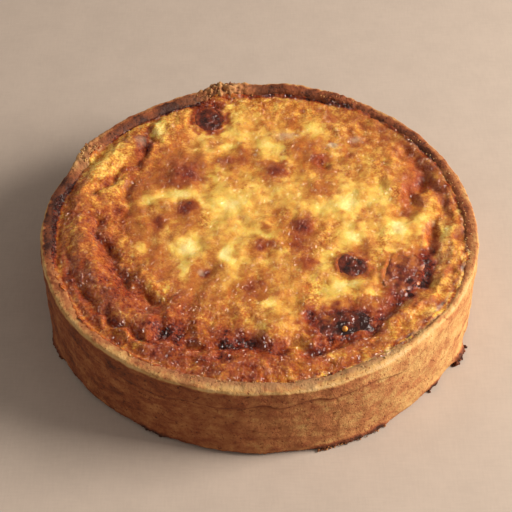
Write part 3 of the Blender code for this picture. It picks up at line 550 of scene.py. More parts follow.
def linear(hex_colour):
    """Linear RGBA of an sRGB hex colour."""
    parts = [int(hex_colour[i : i + 2], 16) / 255 for i in (1, 3, 5)]
    curved = [((p + 0.055) / 1.055) ** 2.4 if p > 0.04045 else p / 12.92 for p in parts]
    return (*curved, 1.0)


def length(name, default, description):
    """A length that a user can change."""
    return bpy.props.FloatProperty(
        name=name, description=description, default=default, precision=4, unit="LENGTH"
    )


def colour(name, hex_colour, description):
    """A colour that a user can change."""
    return bpy.props.FloatVectorProperty(
        name=name,
        description=description,
        default=linear(hex_colour),
        size=4,
        min=0,
        max=1,
        subtype="COLOR",
    )


class QuicheSizes(bpy.types.PropertyGroup):
    """Sizes of the tart, the same as those of its solids."""

    rim_radius: length("Rim radius", 0.1, "Outer radius of the case at its rim")
    base_radius: length("Base radius", 0.1000, "Outer radius of the case at its foot")
    rim_height: length("Rim height", 0.0438, "Height of the rim above the table")
    wall_thickness: length("Wall thickness", 0.0070, "Thickness of the pastry wall")
    wall_thicker_in_front: length("Extra in front", 0.0004, "How much thicker the wall is in front")
    floor_thickness: length("Floor thickness", 0.006, "Thickness of the pastry floor")
    custard_height: length("Custard height", 0.0415, "Height of the custard in the middle")
    lap_depth: length("Lap depth", 0.0006, "How far the lapped band stands proud")
    ring_radius: length("Ring radius", 0.083, "Radius of the raised ring of custard")
    ring_half_width: length("Ring half width", 0.0095, "Half width of the raised ring")


class QuicheColours(bpy.types.PropertyGroup):
    """Colours of the tart and of its stage."""

    lemon: colour("Lemon", "#F5E296", "Custard that is only just set")
    yellow: colour("Yellow", "#E3C05E", "Set custard")
    golden: colour("Golden", "#D39E48", "Lightly browned custard")
    amber: colour("Amber", "#B06A28", "Browned custard")
    orange_brown: colour("Orange brown", "#995022", "Well browned skin")
    red_brown: colour("Red brown", "#863916", "Dark browned skin")
    maroon: colour("Maroon", "#661F0F", "Skin about to burn")
    burnt: colour("Burnt", "#30100B", "Burnt skin")
    ash: colour("Ash", "#BCAA90", "Split cream")
    cream: colour("Cream crust", "#CBA878", "Palest pastry, on the rim")
    sand: colour("Sandy crust", "#BE955C", "Golden pastry")
    crust: colour("Brown crust", "#A66D42", "Browned pastry of the wall")
    dark_crust: colour("Red brown crust", "#874A2C", "Dark pastry")
    char: colour("Char", "#3A1F18", "Burnt pastry and drips")
    dust: colour("Dusty crust", "#A27C56", "Dry, greyish crumb inside the rim")
    bacon: colour("Bacon", "#6E2C1A", "Red-brown baked bacon")
    bacon_dark: colour("Dark bacon", "#280C08", "Charred bacon")
    bacon_fat: colour("Bacon fat", "#A4602C", "Rendered fat on the bacon")
    floor: colour("Floor", "#B5A89C", "Matt paper under the tart")


def sizes():
    """The sizes set in the scene."""
    return bpy.context.scene.quiche_sizes


def colours():
    """The colours set in the scene."""
    return bpy.context.scene.quiche_colours


def waves(angle, terms):
    """Sum of slow waves round the tart."""
    return sum(w.size * np.cos(w.count * (angle - math.radians(w.start_deg))) for w in terms)


def hump(angle, centre_deg, half_deg):
    """1 at an angle, falling smoothly to 0 on both sides of it."""
    turn = (angle - math.radians(centre_deg) + math.pi) % math.tau - math.pi
    return np.exp(-((turn / math.radians(half_deg)) ** 2))


def ease(value, start=0, over=1):
    """0 up to the start, rising to 1 over a stretch, with level ends."""
    t = np.clip((value - start) / over, 0, 1)
    return t * t * (3 - 2 * t)


def tones(angle, humps):
    """Sum of humps round the tart: size, angle and half width in degrees."""
    return sum(size * hump(angle, centre, half) for size, centre, half in humps)


def at_marks(angle, marks, key):
    """What each mark gives at an angle, falling smoothly on both sides of it."""
    return [getattr(m, key) * hump(angle, m.angle_deg, m.half_deg) for m in marks]


def between(turn_deg, points, key):
    """A value at each angle, between the points that give it round the tart."""
    places = [p.angle_deg for p in points]
    return np.interp(turn_deg, places, [getattr(p, key) for p in points], period=360)


def toward(level, target, share):
    """A level, moved by a share of the way to a target."""
    return level + (target - level) * share


def band(value, middle, half):
    """1 at one value, falling smoothly to 0 on both sides of it."""
    return np.exp(-(((value - middle) / half) ** 2))


def lattice_noise(u, v, columns, rows, seed):
    """Smooth seeded hills, one about every unit, from about -1 to 1, that repeat with the lattice."""
    lean = np.random.default_rng(seed).uniform(0, math.tau, (columns, rows))
    column = np.floor(u).astype(int)
    row = np.floor(v).astype(int)

    def corner(right, up):
        at = lean[(column + right) % columns, (row + up) % rows]
        return np.cos(at) * (u - column - right) + np.sin(at) * (v - row - up)

    def fade(t):
        return t * t * t * (t * (6 * t - 15) + 10)

    across = fade(u - column)
    along = fade(v - row)
    near = corner(0, 0) * (1 - across) + corner(1, 0) * across
    far = corner(0, 1) * (1 - across) + corner(1, 1) * across
    return 1.5 * (near * (1 - along) + far * along)


def noise(x, y, cell, seed, side=64):
    """Smooth seeded hills over the plan of the tart."""
    return lattice_noise(x / cell, y / cell, side, side, seed)


def billow(x, y, size, cell, seed):
    """Round bumps with sharp valleys between them, about as much up as down."""
    return size * (np.abs(noise(x, y, cell, seed, 128)) * 1.4 - 0.4)


def streaks_around(x, y, count, width, seed):
    """Smooth seeded streaks that run round the tart."""
    return lattice_noise(np.arctan2(y, x) / math.tau * count, np.hypot(x, y) / width, count, 64, seed)


def wall_noise(angle, along, width, height, seed):
    """Smooth seeded hills round the wall, of one width round it and one height along its profile."""
    columns = round(math.tau * sizes().rim_radius / width)
    return lattice_noise(angle / math.tau * columns, along / height, columns, 64, seed)


def layered(x, y, layers):
    """Sum of noises over the plan: size, width of a hill, seed and perhaps the lattice's side."""
    return sum(size * noise(x, y, *rest) for size, *rest in layers)


def wall_layered(angle, along, layers):
    """Sum of noises on the case: size, width and height of a hill, seed."""
    return sum(size * wall_noise(angle, along, *rest) for size, *rest in layers)


def on_circle(radius, angle):
    """Points in the plan at each radius and angle."""
    return np.stack([radius * np.cos(angle), radius * np.sin(angle)], -1)


def smooth_path(corners):
    """Points along a smooth curve through the corners of a path."""
    ends = [corners[0], *corners, corners[-1]]
    points = []
    for a, b, c, d in zip(ends, ends[1:], ends[2:], ends[3:]):
        for step in range(PATH_STEPS):
            t = step / PATH_STEPS
            weights = (
                -0.5 * t + t * t - 0.5 * t**3,
                1 - 2.5 * t * t + 1.5 * t**3,
                0.5 * t + 2 * t * t - 1.5 * t**3,
                -0.5 * t * t + 0.5 * t**3,
            )
            points.append([sum(w * p[k] for w, p in zip(weights, (a, b, c, d))) for k in (0, 1)])
    points.append(list(corners[-1]))
    return np.array(points)


def distance_to_path(x, y, path):
    """Distance of each point to the nearest stretch of a path."""
    nearest = np.full(np.shape(x), np.inf)
    for start, end in zip(path, path[1:]):
        run = end - start
        t = ((x - start[0]) * run[0] + (y - start[1]) * run[1]) / max(run @ run, 1e-12)
        t = np.clip(t, 0, 1)
        nearest = np.minimum(nearest, np.hypot(x - start[0] - t * run[0], y - start[1] - t * run[1]))
    return nearest


def ellipse_distance(x, y, middle, half_sizes, turn_deg):
    """Distance from the middle of a turned ellipse, 1 on its edge."""
    turn = math.radians(turn_deg)
    along = ((x - middle[0]) * math.cos(turn) + (y - middle[1]) * math.sin(turn)) / half_sizes[0]
    across = ((y - middle[1]) * math.cos(turn) - (x - middle[0]) * math.sin(turn)) / half_sizes[1]
    return np.hypot(along, across)


def spot_distance(x, y, spot):
    """Distance from a lump's or stain's middle, 1 on its edge."""
    turn = getattr(spot, "turn_deg", 0)
    return ellipse_distance(x, y, (spot.x, spot.y), (spot.half_length, spot.half_width), turn)


def lardon_distance(x, y, lardon):
    """Distance from a bacon piece's middle, 1 on its edge."""
    return ellipse_distance(x, y, lardon.place, lardon.half_sizes, lardon.turn_deg)


def rim_radius(angle):
    """Outer radius of the case at its rim."""
    return sizes().rim_radius + waves(angle, OUTLINE_WAVES) + sum(at_marks(angle, RIM_MARKS, "outward"))


def base_radius(angle):
    """Outer radius of the case just above its base."""
    return sizes().base_radius + waves(angle, OUTLINE_WAVES)


def rim_height(angle):
    """Height of the rim's crest, with the broken crag at the back left."""
    marks = sum(at_marks(angle, RIM_MARKS, "upward"))
    broken = noise(angle, 0 * angle, math.radians(CRAG_CELL_DEG), CRAG_SEED)
    broken = broken * hump(angle, CRAG_ANGLE_DEG, CRAG_HALF_DEG)
    return sizes().rim_height + waves(angle, RIM_WAVES) + marks + CRAG_ROUGHNESS * broken


def inner_radius(angle):
    """Radius of the case's inner side."""
    front = -np.sin(angle) * sizes().wall_thicker_in_front
    return rim_radius(angle) - sizes().wall_thickness - front - waves(angle, THICKNESS_WAVES)


def crease_height(angle):
    """Height of the wavy crease under the lapped band."""
    turn = np.degrees(angle)
    return np.mean([between(turn + d, CREASE_POINTS, "height") for d in CREASE_SMOOTHING_DEG], axis=0)


def lap_depth(angle):
    """How far the lapped band stands proud of the wall, most of all in front."""
    return sizes().lap_depth * (LAP_LEAST + (1 - LAP_LEAST) * hump(angle, LAP_FRONT_DEG, LAP_HALF_DEG))


def foot_bulge(angle):
    """How far the burnt crumbs stand out at the foot."""
    marks = [(m.outward, FOOT_BLUNTNESS * hump(angle, m.angle_deg, m.half_deg)) for m in FOOT_MARKS]
    return sum(outward * np.minimum(share, 1) for outward, share in marks)


def wall_radius(angle, height):
    """Outer radius of the wall at a height: it widens slowly towards the rim."""
    base = base_radius(angle)
    return base + (rim_radius(angle) - base) * ease(height / sizes().rim_height)


def middle_of_outline():
    """Middle of the case's box, worked out finely from its outline."""
    angle = np.linspace(0, math.tau, 3600, endpoint=False)
    plan = on_circle(rim_radius(angle), angle)
    return np.append((plan.min(0) + plan.max(0)) / 2, 0)


def lardon_turn(lardon):
    """How a bacon piece is turned and tilted."""
    turns = (lardon.tilt_deg, lardon.pitch_deg, lardon.turn_deg)
    return Euler([math.radians(t) for t in turns]).to_matrix()


def lardon_bed(lardon, x, y):
    """Height of the flat bed in the custard's top that a bacon piece lies in."""
    up = lardon_turn(lardon).col[2]
    return lardon.place[2] - (up.x * (x - lardon.place[0]) + up.y * (y - lardon.place[1])) / up.z


def resting_height(x, y):
    """Height of the custard without its folds and lumps, and how free of the case they are."""
    s = sizes()
    angle = np.arctan2(y, x)
    radius = np.hypot(x, y)
    ring = band(radius, s.ring_radius, s.ring_half_width)
    ring_rise = RING_RISE - RING_RISE_TO_LEFT * np.cos(angle) - RING_DROP_TO_BACK * np.sin(angle)
    middle = 1 - ease((radius - s.ring_radius + 2 * s.ring_half_width) / s.ring_half_width)
    lean = (MIDDLE_RISE_TO_RIGHT * x - MIDDLE_RISE_TO_FRONT * y) / s.rim_radius
    edge = ease((radius - inner_radius(angle) + EDGE_WIDTH) / EDGE_WIDTH)
    rise = edge * between(np.degrees(angle), EDGE_POINTS, "rise")
    return s.custard_height + ring * ring_rise + middle * lean + rise, 1 - edge


def custard_height(x, y):
    """Height of the custard's main forms, as in its solid."""
    height, calm = resting_height(x, y)
    wander = [noise(x, y, FOLD_CELL, seed) for seed in WANDER_SEEDS]
    u = x + FOLD_WANDER * wander[0]
    v = y + FOLD_WANDER * wander[1]
    for fold in FOLDS:
        away = distance_to_path(u, v, smooth_path(fold.path)) / fold.half_width
        rise = fold.rise * (1 + FOLD_UNEVENNESS * wander[2])
        height = height + calm * rise * np.exp(-(away**2))
    for lump in LUMPS:
        height = height + calm * lump.rise * np.exp(-(spot_distance(u, v, lump) ** 2))
    for cell, rise, seed in HILLS:
        height = height + rise * noise(x, y, cell, seed)
    for lardon in LARDONS:
        away = lardon_distance(x, y, lardon) / BED_REACH
        height = toward(height, lardon_bed(lardon, x, y), np.exp(-(away**BED_STEEPNESS)))
    return height


def ring_level(angle):
    """Where the browned ring starts and how brown it is, at each angle."""
    turn = np.degrees(angle) % 360
    return between(turn, RING_LEVELS, "start"), between(turn, RING_LEVELS, "level")


def ring_share(x, y):
    """0 in the middle of the custard and 1 on its browned ring."""
    start, _ = ring_level(np.arctan2(y, x))
    return ease((np.hypot(x, y) - start + RING_BLEND / 2) / RING_BLEND)


def broad_browning_and_groove_shade(x, y):
    """How brown the skin is before its fine mottling, from 0 to 1, with painted shade in its grooves and by
    the right piece of bacon.
    """
    u = x + layered(x, y, STAIN_WANDER_X)
    v = y + layered(x, y, STAIN_WANDER_Y)
    angle = np.arctan2(v, u)
    _, ring = ring_level(angle)
    level = toward(MIDDLE_LEVEL, ring, ring_share(u, v))
    level = level + layered(x, y, CLOUDS) + layered(u, v, FINER_CLOUDS)
    ragged = 1 + layered(x, y, RAGGED_STAINS)
    for stain in STAINS:
        away = spot_distance(u, v, stain) * ragged
        if stain.level > DARK_STAIN:
            halo = np.maximum(HALO_LEVEL - level, 0) * band(away, 0, HALO_REACH)
            level = level + HALO_STRENGTH * halo
        fade = STAIN_FADE if stain.level < DARK_STAIN else DARK_STAIN_FADE
        level = toward(level, stain.level, np.exp(-(away**fade)))
    for lardon in LARDONS:
        away = lardon_distance(u, v, lardon) * ragged / BORDER_REACH
        level = toward(level, lardon.border, np.exp(-(away**BORDER_STEEPNESS)))
    # Darker along the grooves: partly browning, partly painted shade
    for streak in STREAKS:
        away = distance_to_path(u, v, smooth_path(streak.path)) / streak.half_width * ragged
        level = toward(level, streak.level, STREAK_STRENGTH * np.exp(-(away**2)))
    torn = ease(level + layered(x, y, TORN_SKIN), *TORN_LEVELS) - 0.5
    level = level + 0.10 * torn * (1 - ring_share(x, y))
    outside = np.hypot(x, y) - inner_radius(np.arctan2(y, x))
    dried = np.clip(0.50 + 0.8 * streaks_around(x, y, *DRIED_STREAKS), *DRIED_LEVELS)
    level = toward(level, dried, 0.9 * crust(x, y))
    for burn, at in zip(BURNS, at_marks(angle, BURNS, "amount")):
        level = toward(level, BURNT_SKIN, at * ease((outside + burn.inward * ragged) / BURN_FADE))
    fringe = 1 - ease((spill(angle) - outside) / FRINGE_WIDTH)
    return toward(level, SINGED, fringe * spilled(angle, "burnt") * (1 - spilled(angle, "crumbly")))


def crust(x, y):
    """Where spilled custard dried to a crumbly crust on the rim, from 0 to 1."""
    angle = np.arctan2(y, x)
    outside = np.hypot(x, y) - inner_radius(angle) + layered(x, y, CRUST_WANDER)
    return spilled(angle, "crumbly") * ease((outside + CRUST_START) / CRUST_FADE)


def crinkling(x, y, level):
    """How crinkled the skin is: hardly where it is pale, most on the browned ring."""
    ring = ring_share(x, y)
    angle = np.arctan2(y, x)
    side = 0.70 + tones(angle, RING_CRINKLE)
    browned = ease(level, *CRINKLED_LEVELS)
    patchy = 0.60 + layered(x, y, CRINKLE_PATCHES)
    amount = (0.06 + 0.34 * browned) * patchy * (1 - ring) + side * (0.75 + 0.35 * patchy) * ring
    ragged = 1 + layered(x, y, RAGGED_WRINKLES)
    for wrinkle in WRINKLES:
        away = spot_distance(x, y, wrinkle) * ragged
        amount = np.maximum(amount, wrinkle.amount * np.exp(-(away**3)))
    return np.maximum(np.clip(amount, 0, 1), 1.4 * crust(x, y))


def skin_relief(x, y, crinkled):
    """Fine bumps of the baked skin: gentle where it is pale, and crinkled where it is brown."""
    u = x + layered(x, y, CRINKLE_WANDER_X)
    v = y + layered(x, y, CRINKLE_WANDER_Y)
    lumps = layered(u, v, BROWN_BUMPS) + billow(u, v, *BLISTERS)
    brown = lumps + PLEAT_HEIGHT * streaks_around(u, v, *PLEATS) * ring_share(x, y)
    crumbs = layered(x, y, CRUST_CRUMBS) + billow(x, y, *CRUST_LUMPS)
    return layered(u, v, SOFT_BUMPS) + crinkled * brown + crust(x, y) * crumbs


def skin_browning_and_dip_shade(x, y, level, relief):
    """How brown the skin is with its mottling: browner on bumps of the middle, and darker in dips of the
    ring, partly painted shade.
    """
    ring = ring_share(x, y)
    raised = relief / FULL_RELIEF
    form = np.clip((custard_height(x, y) - resting_height(x, y)[0]) / FULL_FORM, -2, 2)
    strength = 0.35 + 0.65 * ease(level, *MOTTLED_LEVELS) + 0.6 * ring
    level = level + strength * layered(x, y, FINE_MOTTLE)
    # Darker in the ring's dips and folds: partly browning, partly painted shade
    return level + (0.06 * (1 - ring) - 0.10 * ring) * raised - 0.03 * ring * form


def spill(angle):
    """How far the custard reaches outward from the case's inner side."""
    ragged = layered(angle, 0 * angle, SPILL_EDGE)
    reach = spilled(angle, "outward") * (1 + SPILL_UNEVENNESS * ragged) + SPILL_RAGGED * ragged
    return np.clip(reach, SPILL_LEAST, SPILL_MOST)


def spilled(angle, key):
    """How far out, how burnt or how crumbly the spilled custard is at each angle."""
    return np.max(at_marks(angle, SPILLS, key), axis=0)


def rim_top(angle, radius):
    """Height of the rim's inner slope and top."""
    outward = [0.0, RIM_INSIDE[1][0], RIM_INSIDE[0][0], sizes().wall_thickness - RIM_OUTSIDE[-1][0]]
    below = [RIM_INSIDE[2][1], RIM_INSIDE[1][1], RIM_INSIDE[0][1], 0.0]
    return rim_height(angle) - np.interp(radius - inner_radius(angle), outward, below)


def custard_top(x, y, relief):
    """Height of the custard's skin, which laps over the rim's inner slope where it spilled."""
    angle = np.arctan2(y, x)
    radius = np.hypot(x, y)
    left = spill(angle) - radius + inner_radius(angle)
    crumbly = spilled(angle, "crumbly")
    taper = 1 - ease(left / (SPILL_TAPER + CRUMBLY_TAPER * crumbly))
    thin = (SPILL_THINNING + CRUMBLY_THINNING * crumbly) * taper
    over_rim = rim_top(angle, radius) + SKIN_OVER_RIM + (0.4 + 0.6 * crust(x, y)) * relief
    plain = custard_height(x, y) + relief
    creep = CREEP_RISE * np.clip(0.60 + layered(x, y, CREEP_PATCHES), 0, 1)
    for lardon in LARDONS:
        plain = plain + creep * band(lardon_distance(x, y, lardon), CREEP_AT, CREEP_HALF_WIDTH)
    higher = (plain + over_rim + np.hypot(plain - over_rim, SKIN_BLEND)) / 2 - thin
    return np.where(radius > inner_radius(angle) - SKIN_BLEND, higher, plain)


def custard_ash(x, y):
    """How grey the skin is at each point, from 0 to 1."""
    ragged = 1 + layered(x, y, RAGGED_ASHES)
    parts = [a.amount * np.exp(-((spot_distance(x, y, a) * ragged) ** 3)) for a in ASHES]
    dry = np.clip(0.14 + 0.6 * streaks_around(x, y, *ASH_STREAKS), *DRIED_ASH)
    return np.maximum(np.max(parts, axis=0), dry * crust(x, y))


def case_rings(angle):
    """Rings of the case from under its foot, up the outside, over the rim and down to its floor."""
    flat = 0 * angle
    base = base_radius(angle)
    edge = rim_radius(angle) + lap_depth(angle) * RIM_LAP_SHARE
    inner = inner_radius(angle)
    crest = rim_height(angle)
    crease = crease_height(angle)
    lap = lap_depth(angle)
    bulge = foot_bulge(angle)
    floor = sizes().floor_thickness
    rings = [(base - inward + share * bulge, flat + level) for inward, share, level in FOOT_PROFILE]
    rings += [(wall_radius(angle, flat + level), flat + level) for level in WALL_LEVELS]
    rings.append((wall_radius(angle, crease) - lap / 2, crease - CREASE_UNDER))
    rings.append((wall_radius(angle, crease) + lap, crease + CREASE_OVER))
    slope = BAND_SLOPE * hump(angle, BAND_SLOPE_DEG, BAND_SLOPE_HALF_DEG)
    for (inward, below), share in zip(RIM_OUTSIDE, BAND_SLOPE_SHARES):
        rings.append((edge - inward - share * slope, crest - below))
    rings += [(inner + outward, crest - below) for outward, below in RIM_INSIDE]
    rings += [(inner - inward, flat + floor + above) for inward, above in FLOOR_PROFILE]
    return rings


# Fine rows between the case's rings, from its foot to its floor; the crease's rings stay sharp
CASE_ROWS = (2, 3, 5, 11, 12, 13, 3, 7, 5, 3, 3, 4, 4, 4, 5, 1, 1)
CREASE_RING = 6
OUTER_EDGE_RING = 9
INNER_EDGE_RING = 13
CASE_AROUND = 1104
CUSTARD_RINGS = 174
SMOOTHING_PASSES = 3


def fine_profile(angle):
    """Radius and height of every fine row of the case at each angle, and where its rings lie."""
    rings = case_rings(angle)
    radius = []
    height = []
    marks = [0]
    for (r0, z0), (r1, z1), rows in zip(rings, rings[1:], CASE_ROWS):
        for row in range(rows):
            share = row / rows
            radius.append(r0 + (r1 - r0) * share)
            height.append(z0 + (z1 - z0) * share)
        marks.append(marks[-1] + rows)
    radius.append(rings[-1][0])
    height.append(rings[-1][1])
    radius = np.array(radius)
    height = np.array(height)
    pinned = np.zeros((len(radius), 1))
    pinned[[0, 1, marks[CREASE_RING], marks[CREASE_RING + 1], -2, -1]] = 1
    for _ in range(SMOOTHING_PASSES):
        for values in (radius, height):
            rounded = 0.25 * np.roll(values, 1, 0) + 0.5 * values + 0.25 * np.roll(values, -1, 0)
            values[:] = pinned * values + (1 - pinned) * rounded
    return radius, height, marks


def ragged_rim(angle):
    """Where the rim is broken to rough crumb, from 0 to 1."""
    return np.clip(tones(angle, RAGGED_RIM), 0, 1)


def case_relief(angle, along, height, on_rim, on_wall):
    """Fine relief of the pastry, outward from its surface."""
    above = height - crease_height(angle)
    relief = wall_layered(angle, along, CASE_BUMPS) + on_wall * wall_layered(angle, along, WALL_STREAKS)
    ridges = wall_layered(angle, along, RIM_RIDGES) * (0.4 + 0.6 * hump(angle, *RIDGED_AT))
    relief = relief + on_rim * (ridges + wall_layered(angle, along, RIM_CRUMB))
    broken = np.abs(wall_noise(angle, along, 0.0036, 0.0036, 77)) * 1.4 - 0.45
    broken = broken + wall_layered(angle, along, BROKEN_CRUMB)
    edge = on_rim + 0.7 * on_wall * ease(above, *CRAG_ABOVE)
    relief = relief + edge * CRAG_DEPTH * ragged_rim(angle) * broken
    foot = 1 - ease(height, *CRUMBLY_FOOT_END)
    crumbly = 0.35 + 0.65 * np.clip(foot_bulge(angle) / 0.001, 0, 1)
    bits = np.abs(wall_noise(angle, along, 0.0024, 0.0024, 68)) - 0.2
    relief = relief + on_wall * foot * crumbly * FOOT_ROUGHNESS * bits
    gaping = ease(0.6 + wall_layered(angle, 0 * along, GAPING)) * hump(angle, *CRACKED_AT)
    relief = relief - on_wall * CRACK_DEPTH * band(above, *CRACK_BAND) * gaping
    for hole in PINHOLES:
        beside = (angle - math.radians(hole.angle_deg % 360)) * sizes().rim_radius
        away = np.hypot(beside, height - hole.height)
        relief = relief - on_wall * PINHOLE_DEPTH * band(away, 0, PINHOLE_RADIUS)
    return relief


def case_browning_and_painted_light(angle, share, height, on_rim, on_wall, relief):
    """How brown the pastry is, from 0 to 1, with painted shade and a painted highlight. Share is 0 on the
    rim's outer edge and 1 on its inner one.
    """
    above = height - crease_height(angle)
    along = share * sizes().wall_thickness
    uneven = wall_layered(angle, along, RIM_CLOUDS)
    top = RIM_LEVEL + RIM_LEVEL_INSIDE * ease(share + uneven, *DARKER_ACROSS) + tones(angle, RIM_TONES)
    top = top + wall_layered(angle, along, RIM_STREAKS)
    level = toward(WALL_LEVEL + tones(angle, WALL_TONES), top, on_rim)
    lap = ease(above, *BAND_ABOVE) * (1 - on_rim)
    level = level + (BAND_LEVEL + tones(angle, BAND_TONES)) * lap
    scuffs = ease(wall_layered(angle, height, SCUFFS), *SCUFF_HEIGHTS) * band(above, *SCUFF_BAND)
    level = level - on_wall * 0.22 * scuffs * hump(angle, *SCUFFED_AT)
    foot = 1 - ease(height, *BROWN_FOOT_END)
    level = level + on_wall * foot * (0.16 + wall_layered(angle, height, FOOT_CLOUDS))
    burnt = 1 - ease(height, *BURNT_FOOT_END)
    for mark in FOOT_MARKS:
        at = hump(angle, mark.angle_deg, mark.half_deg * 1.1)
        level = toward(level, FOOT_LEVEL, on_wall * burnt * np.clip(1.3 * at, 0, 1))
    level = level + wall_layered(angle, height + along, CASE_MOTTLE)
    level = level + (0.04 + 0.06 * on_rim) * wall_layered(angle, height + along, CASE_GRAIN)
    # Painted highlight: a paler line along the rim's outer edge
    level = level - 0.14 * on_rim * band(share - 0.2 * uneven, *EDGE_HIGHLIGHT_BAND)
    ragged = wall_layered(angle, along, RAGGED_BURNS)
    for burn, at in zip(BURNS, at_marks(angle, BURNS, "amount")):
        level = toward(level, BURNT_PASTRY, at * ease((share - burn.edge_share + ragged) / BURN_FADE_SHARE))
    beyond = (1 - share) * sizes().wall_thickness - spill(angle)
    seep = band(beyond + wall_layered(angle, along, SEEP_WANDER), *SEEP_BAND)
    seep = seep * spilled(angle, "burnt") * (1 - 0.7 * spilled(angle, "crumbly"))
    level = toward(level, SINGED, seep * on_rim)
    rough = ragged_rim(angle) * on_rim
    level = toward(level, CRUMB_LEVEL, 0.8 * rough)
    # Painted shade: the dips of the rough rim are darkened
    level = toward(level, SINGED, rough * ease(-relief, *SHADED_DIP_DEPTHS))
    # Painted shade: a darker line along the crease under the lapped band
    return level + on_wall * 0.28 * band(above, *CREASE_SHADE_BAND) * hump(angle, *CREASE_SHADE_AT)


def case_dust(angle, share, on_rim):
    """How dry and grey the crumb inside the rim is, from 0 to 1."""
    uneven = wall_layered(angle, share * sizes().wall_thickness, DUST_EDGE)
    inner = ease(share + uneven, *DUSTY_ACROSS)
    outer = tones(angle, DUST_TONES)
    return on_rim * np.clip(0.75 * inner * hump(angle, *DUSTY_AT) + outer * (0.6 + uneven), 0, 1)


def add_mesh(name, verts, faces, material, **values):
    """A smooth mesh object with values on its vertices for its material."""
    mesh = bpy.data.meshes.new(name)
    mesh.from_pydata(np.asarray(verts, float).tolist(), [], faces)
    mesh.materials.append(material)
    mesh.shade_smooth()
    for key, value in values.items():
        layer = mesh.attributes.new(key, "FLOAT", "POINT")
        layer.data.foreach_set("value", np.asarray(value, np.float32))
    thing = bpy.data.objects.new(name, mesh)
    bpy.context.scene.collection.objects.link(thing)
    return thing


def hand_over(piece, slot, *nodes):
    """Lets a piece ride on the tart and stand for its solids, which are hidden. Its slot is not used."""
    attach(piece, BODY)
    if nodes:
        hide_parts(*nodes)


def ball(subdivisions):
    """Points and triangles of a ball of radius 1."""
    shape = bmesh.new()
    bmesh.ops.create_icosphere(shape, subdivisions=subdivisions, radius=1)
    points = np.array([vert.co.normalized()[:] for vert in shape.verts])
    faces = [[vert.index for vert in face.verts] for face in shape.faces]
    shape.free()
    return points, faces


def ring_walls(rings, count):
    """Triangles between rings that follow each other."""
    faces = []
    for low in range(0, (rings - 1) * count, count):
        for i in range(count):
            j = (i + 1) % count
            faces.append((low + i, low + j, low + count + j))
            faces.append((low + i, low + count + j, low + count + i))
    return faces


def fan(first, count, tip, downward):
    """Triangles from a ring to one point."""
    faces = [(first + i, first + (i + 1) % count, tip) for i in range(count)]
    return [face[::-1] for face in faces] if downward else faces


def ring_faces(outer, inner, ring):
    """Triangles between a ring of six times `ring` corners and the next one in."""
    faces = []
    for sector in range(6):
        for i in range(ring):
            a = outer + sector * ring + i
            b = outer + (sector * ring + i + 1) % (6 * ring)
            c = inner + (sector * (ring - 1) + i) % (6 * (ring - 1))
            faces.append((a, b, c))
            if i < ring - 1:
                d = inner + (sector * (ring - 1) + i + 1) % (6 * (ring - 1))
                faces.append((c, b, d))
    return faces


def add_node(tree, kind, settings=None):
    """A shader node with its settings; a node or a socket among them feeds the socket so named."""
    node = tree.nodes.new("ShaderNode" + kind)
    for name, value in (settings or {}).items():
        if isinstance(value, bpy.types.Node):
            tree.links.new(value.outputs[0], node.inputs[name])
        elif isinstance(value, bpy.types.NodeSocket):
            tree.links.new(value, node.inputs[name])
        elif name == "stops":
            ramp = node.color_ramp.elements
            while len(ramp) < len(value):
                ramp.new(0.5)
            for stop, (place, shade) in zip(ramp, value):
                stop.position = place
                stop.color = shade
        elif isinstance(name, int) or name in node.inputs:
            node.inputs[name].default_value = value
        else:
            setattr(node, name, value)
    return node


def new_tree(name, *attributes):
    """The nodes of a new material, its place on the object and the values on its vertices."""
    material = bpy.data.materials.new(name)
    material.use_nodes = True
    tree = material.node_tree
    tree.nodes.clear()
    place = add_node(tree, "TexCoord").outputs["Object"]
    values = [add_node(tree, "Attribute", {"attribute_name": key}).outputs["Fac"] for key in attributes]
    return tree, place, *values


def finished(name, settings):
    """A material with a surface of these settings."""
    material = bpy.data.materials[name]
    shader = add_node(material.node_tree, "BsdfPrincipled", settings)
    add_node(material.node_tree, "OutputMaterial", {"Surface": shader})
    return material


def weighted_sum(tree, base, terms):
    """A value plus each noise's distance from its middle times a weight."""
    total = base
    for source, weight in terms:
        centred = add_node(tree, "Math", {"operation": "SUBTRACT", 0: source, 1: 0.5})
        total = add_node(tree, "Math", {"operation": "MULTIPLY_ADD", 0: centred, 1: weight, 2: total})
    return total


def spans(*ends):
    """Settings that turn one span of values into another."""
    return dict(zip(("From Min", "From Max", "To Min", "To Max"), ends))


def grains(place, *sizes_and_details):
    """Settings of noises whose grains have a real size."""
    shared = {"Vector": place, "Roughness": 0.6}
    return [{**shared, "Scale": 1 / size, "Detail": detail} for size, detail in sizes_and_details]


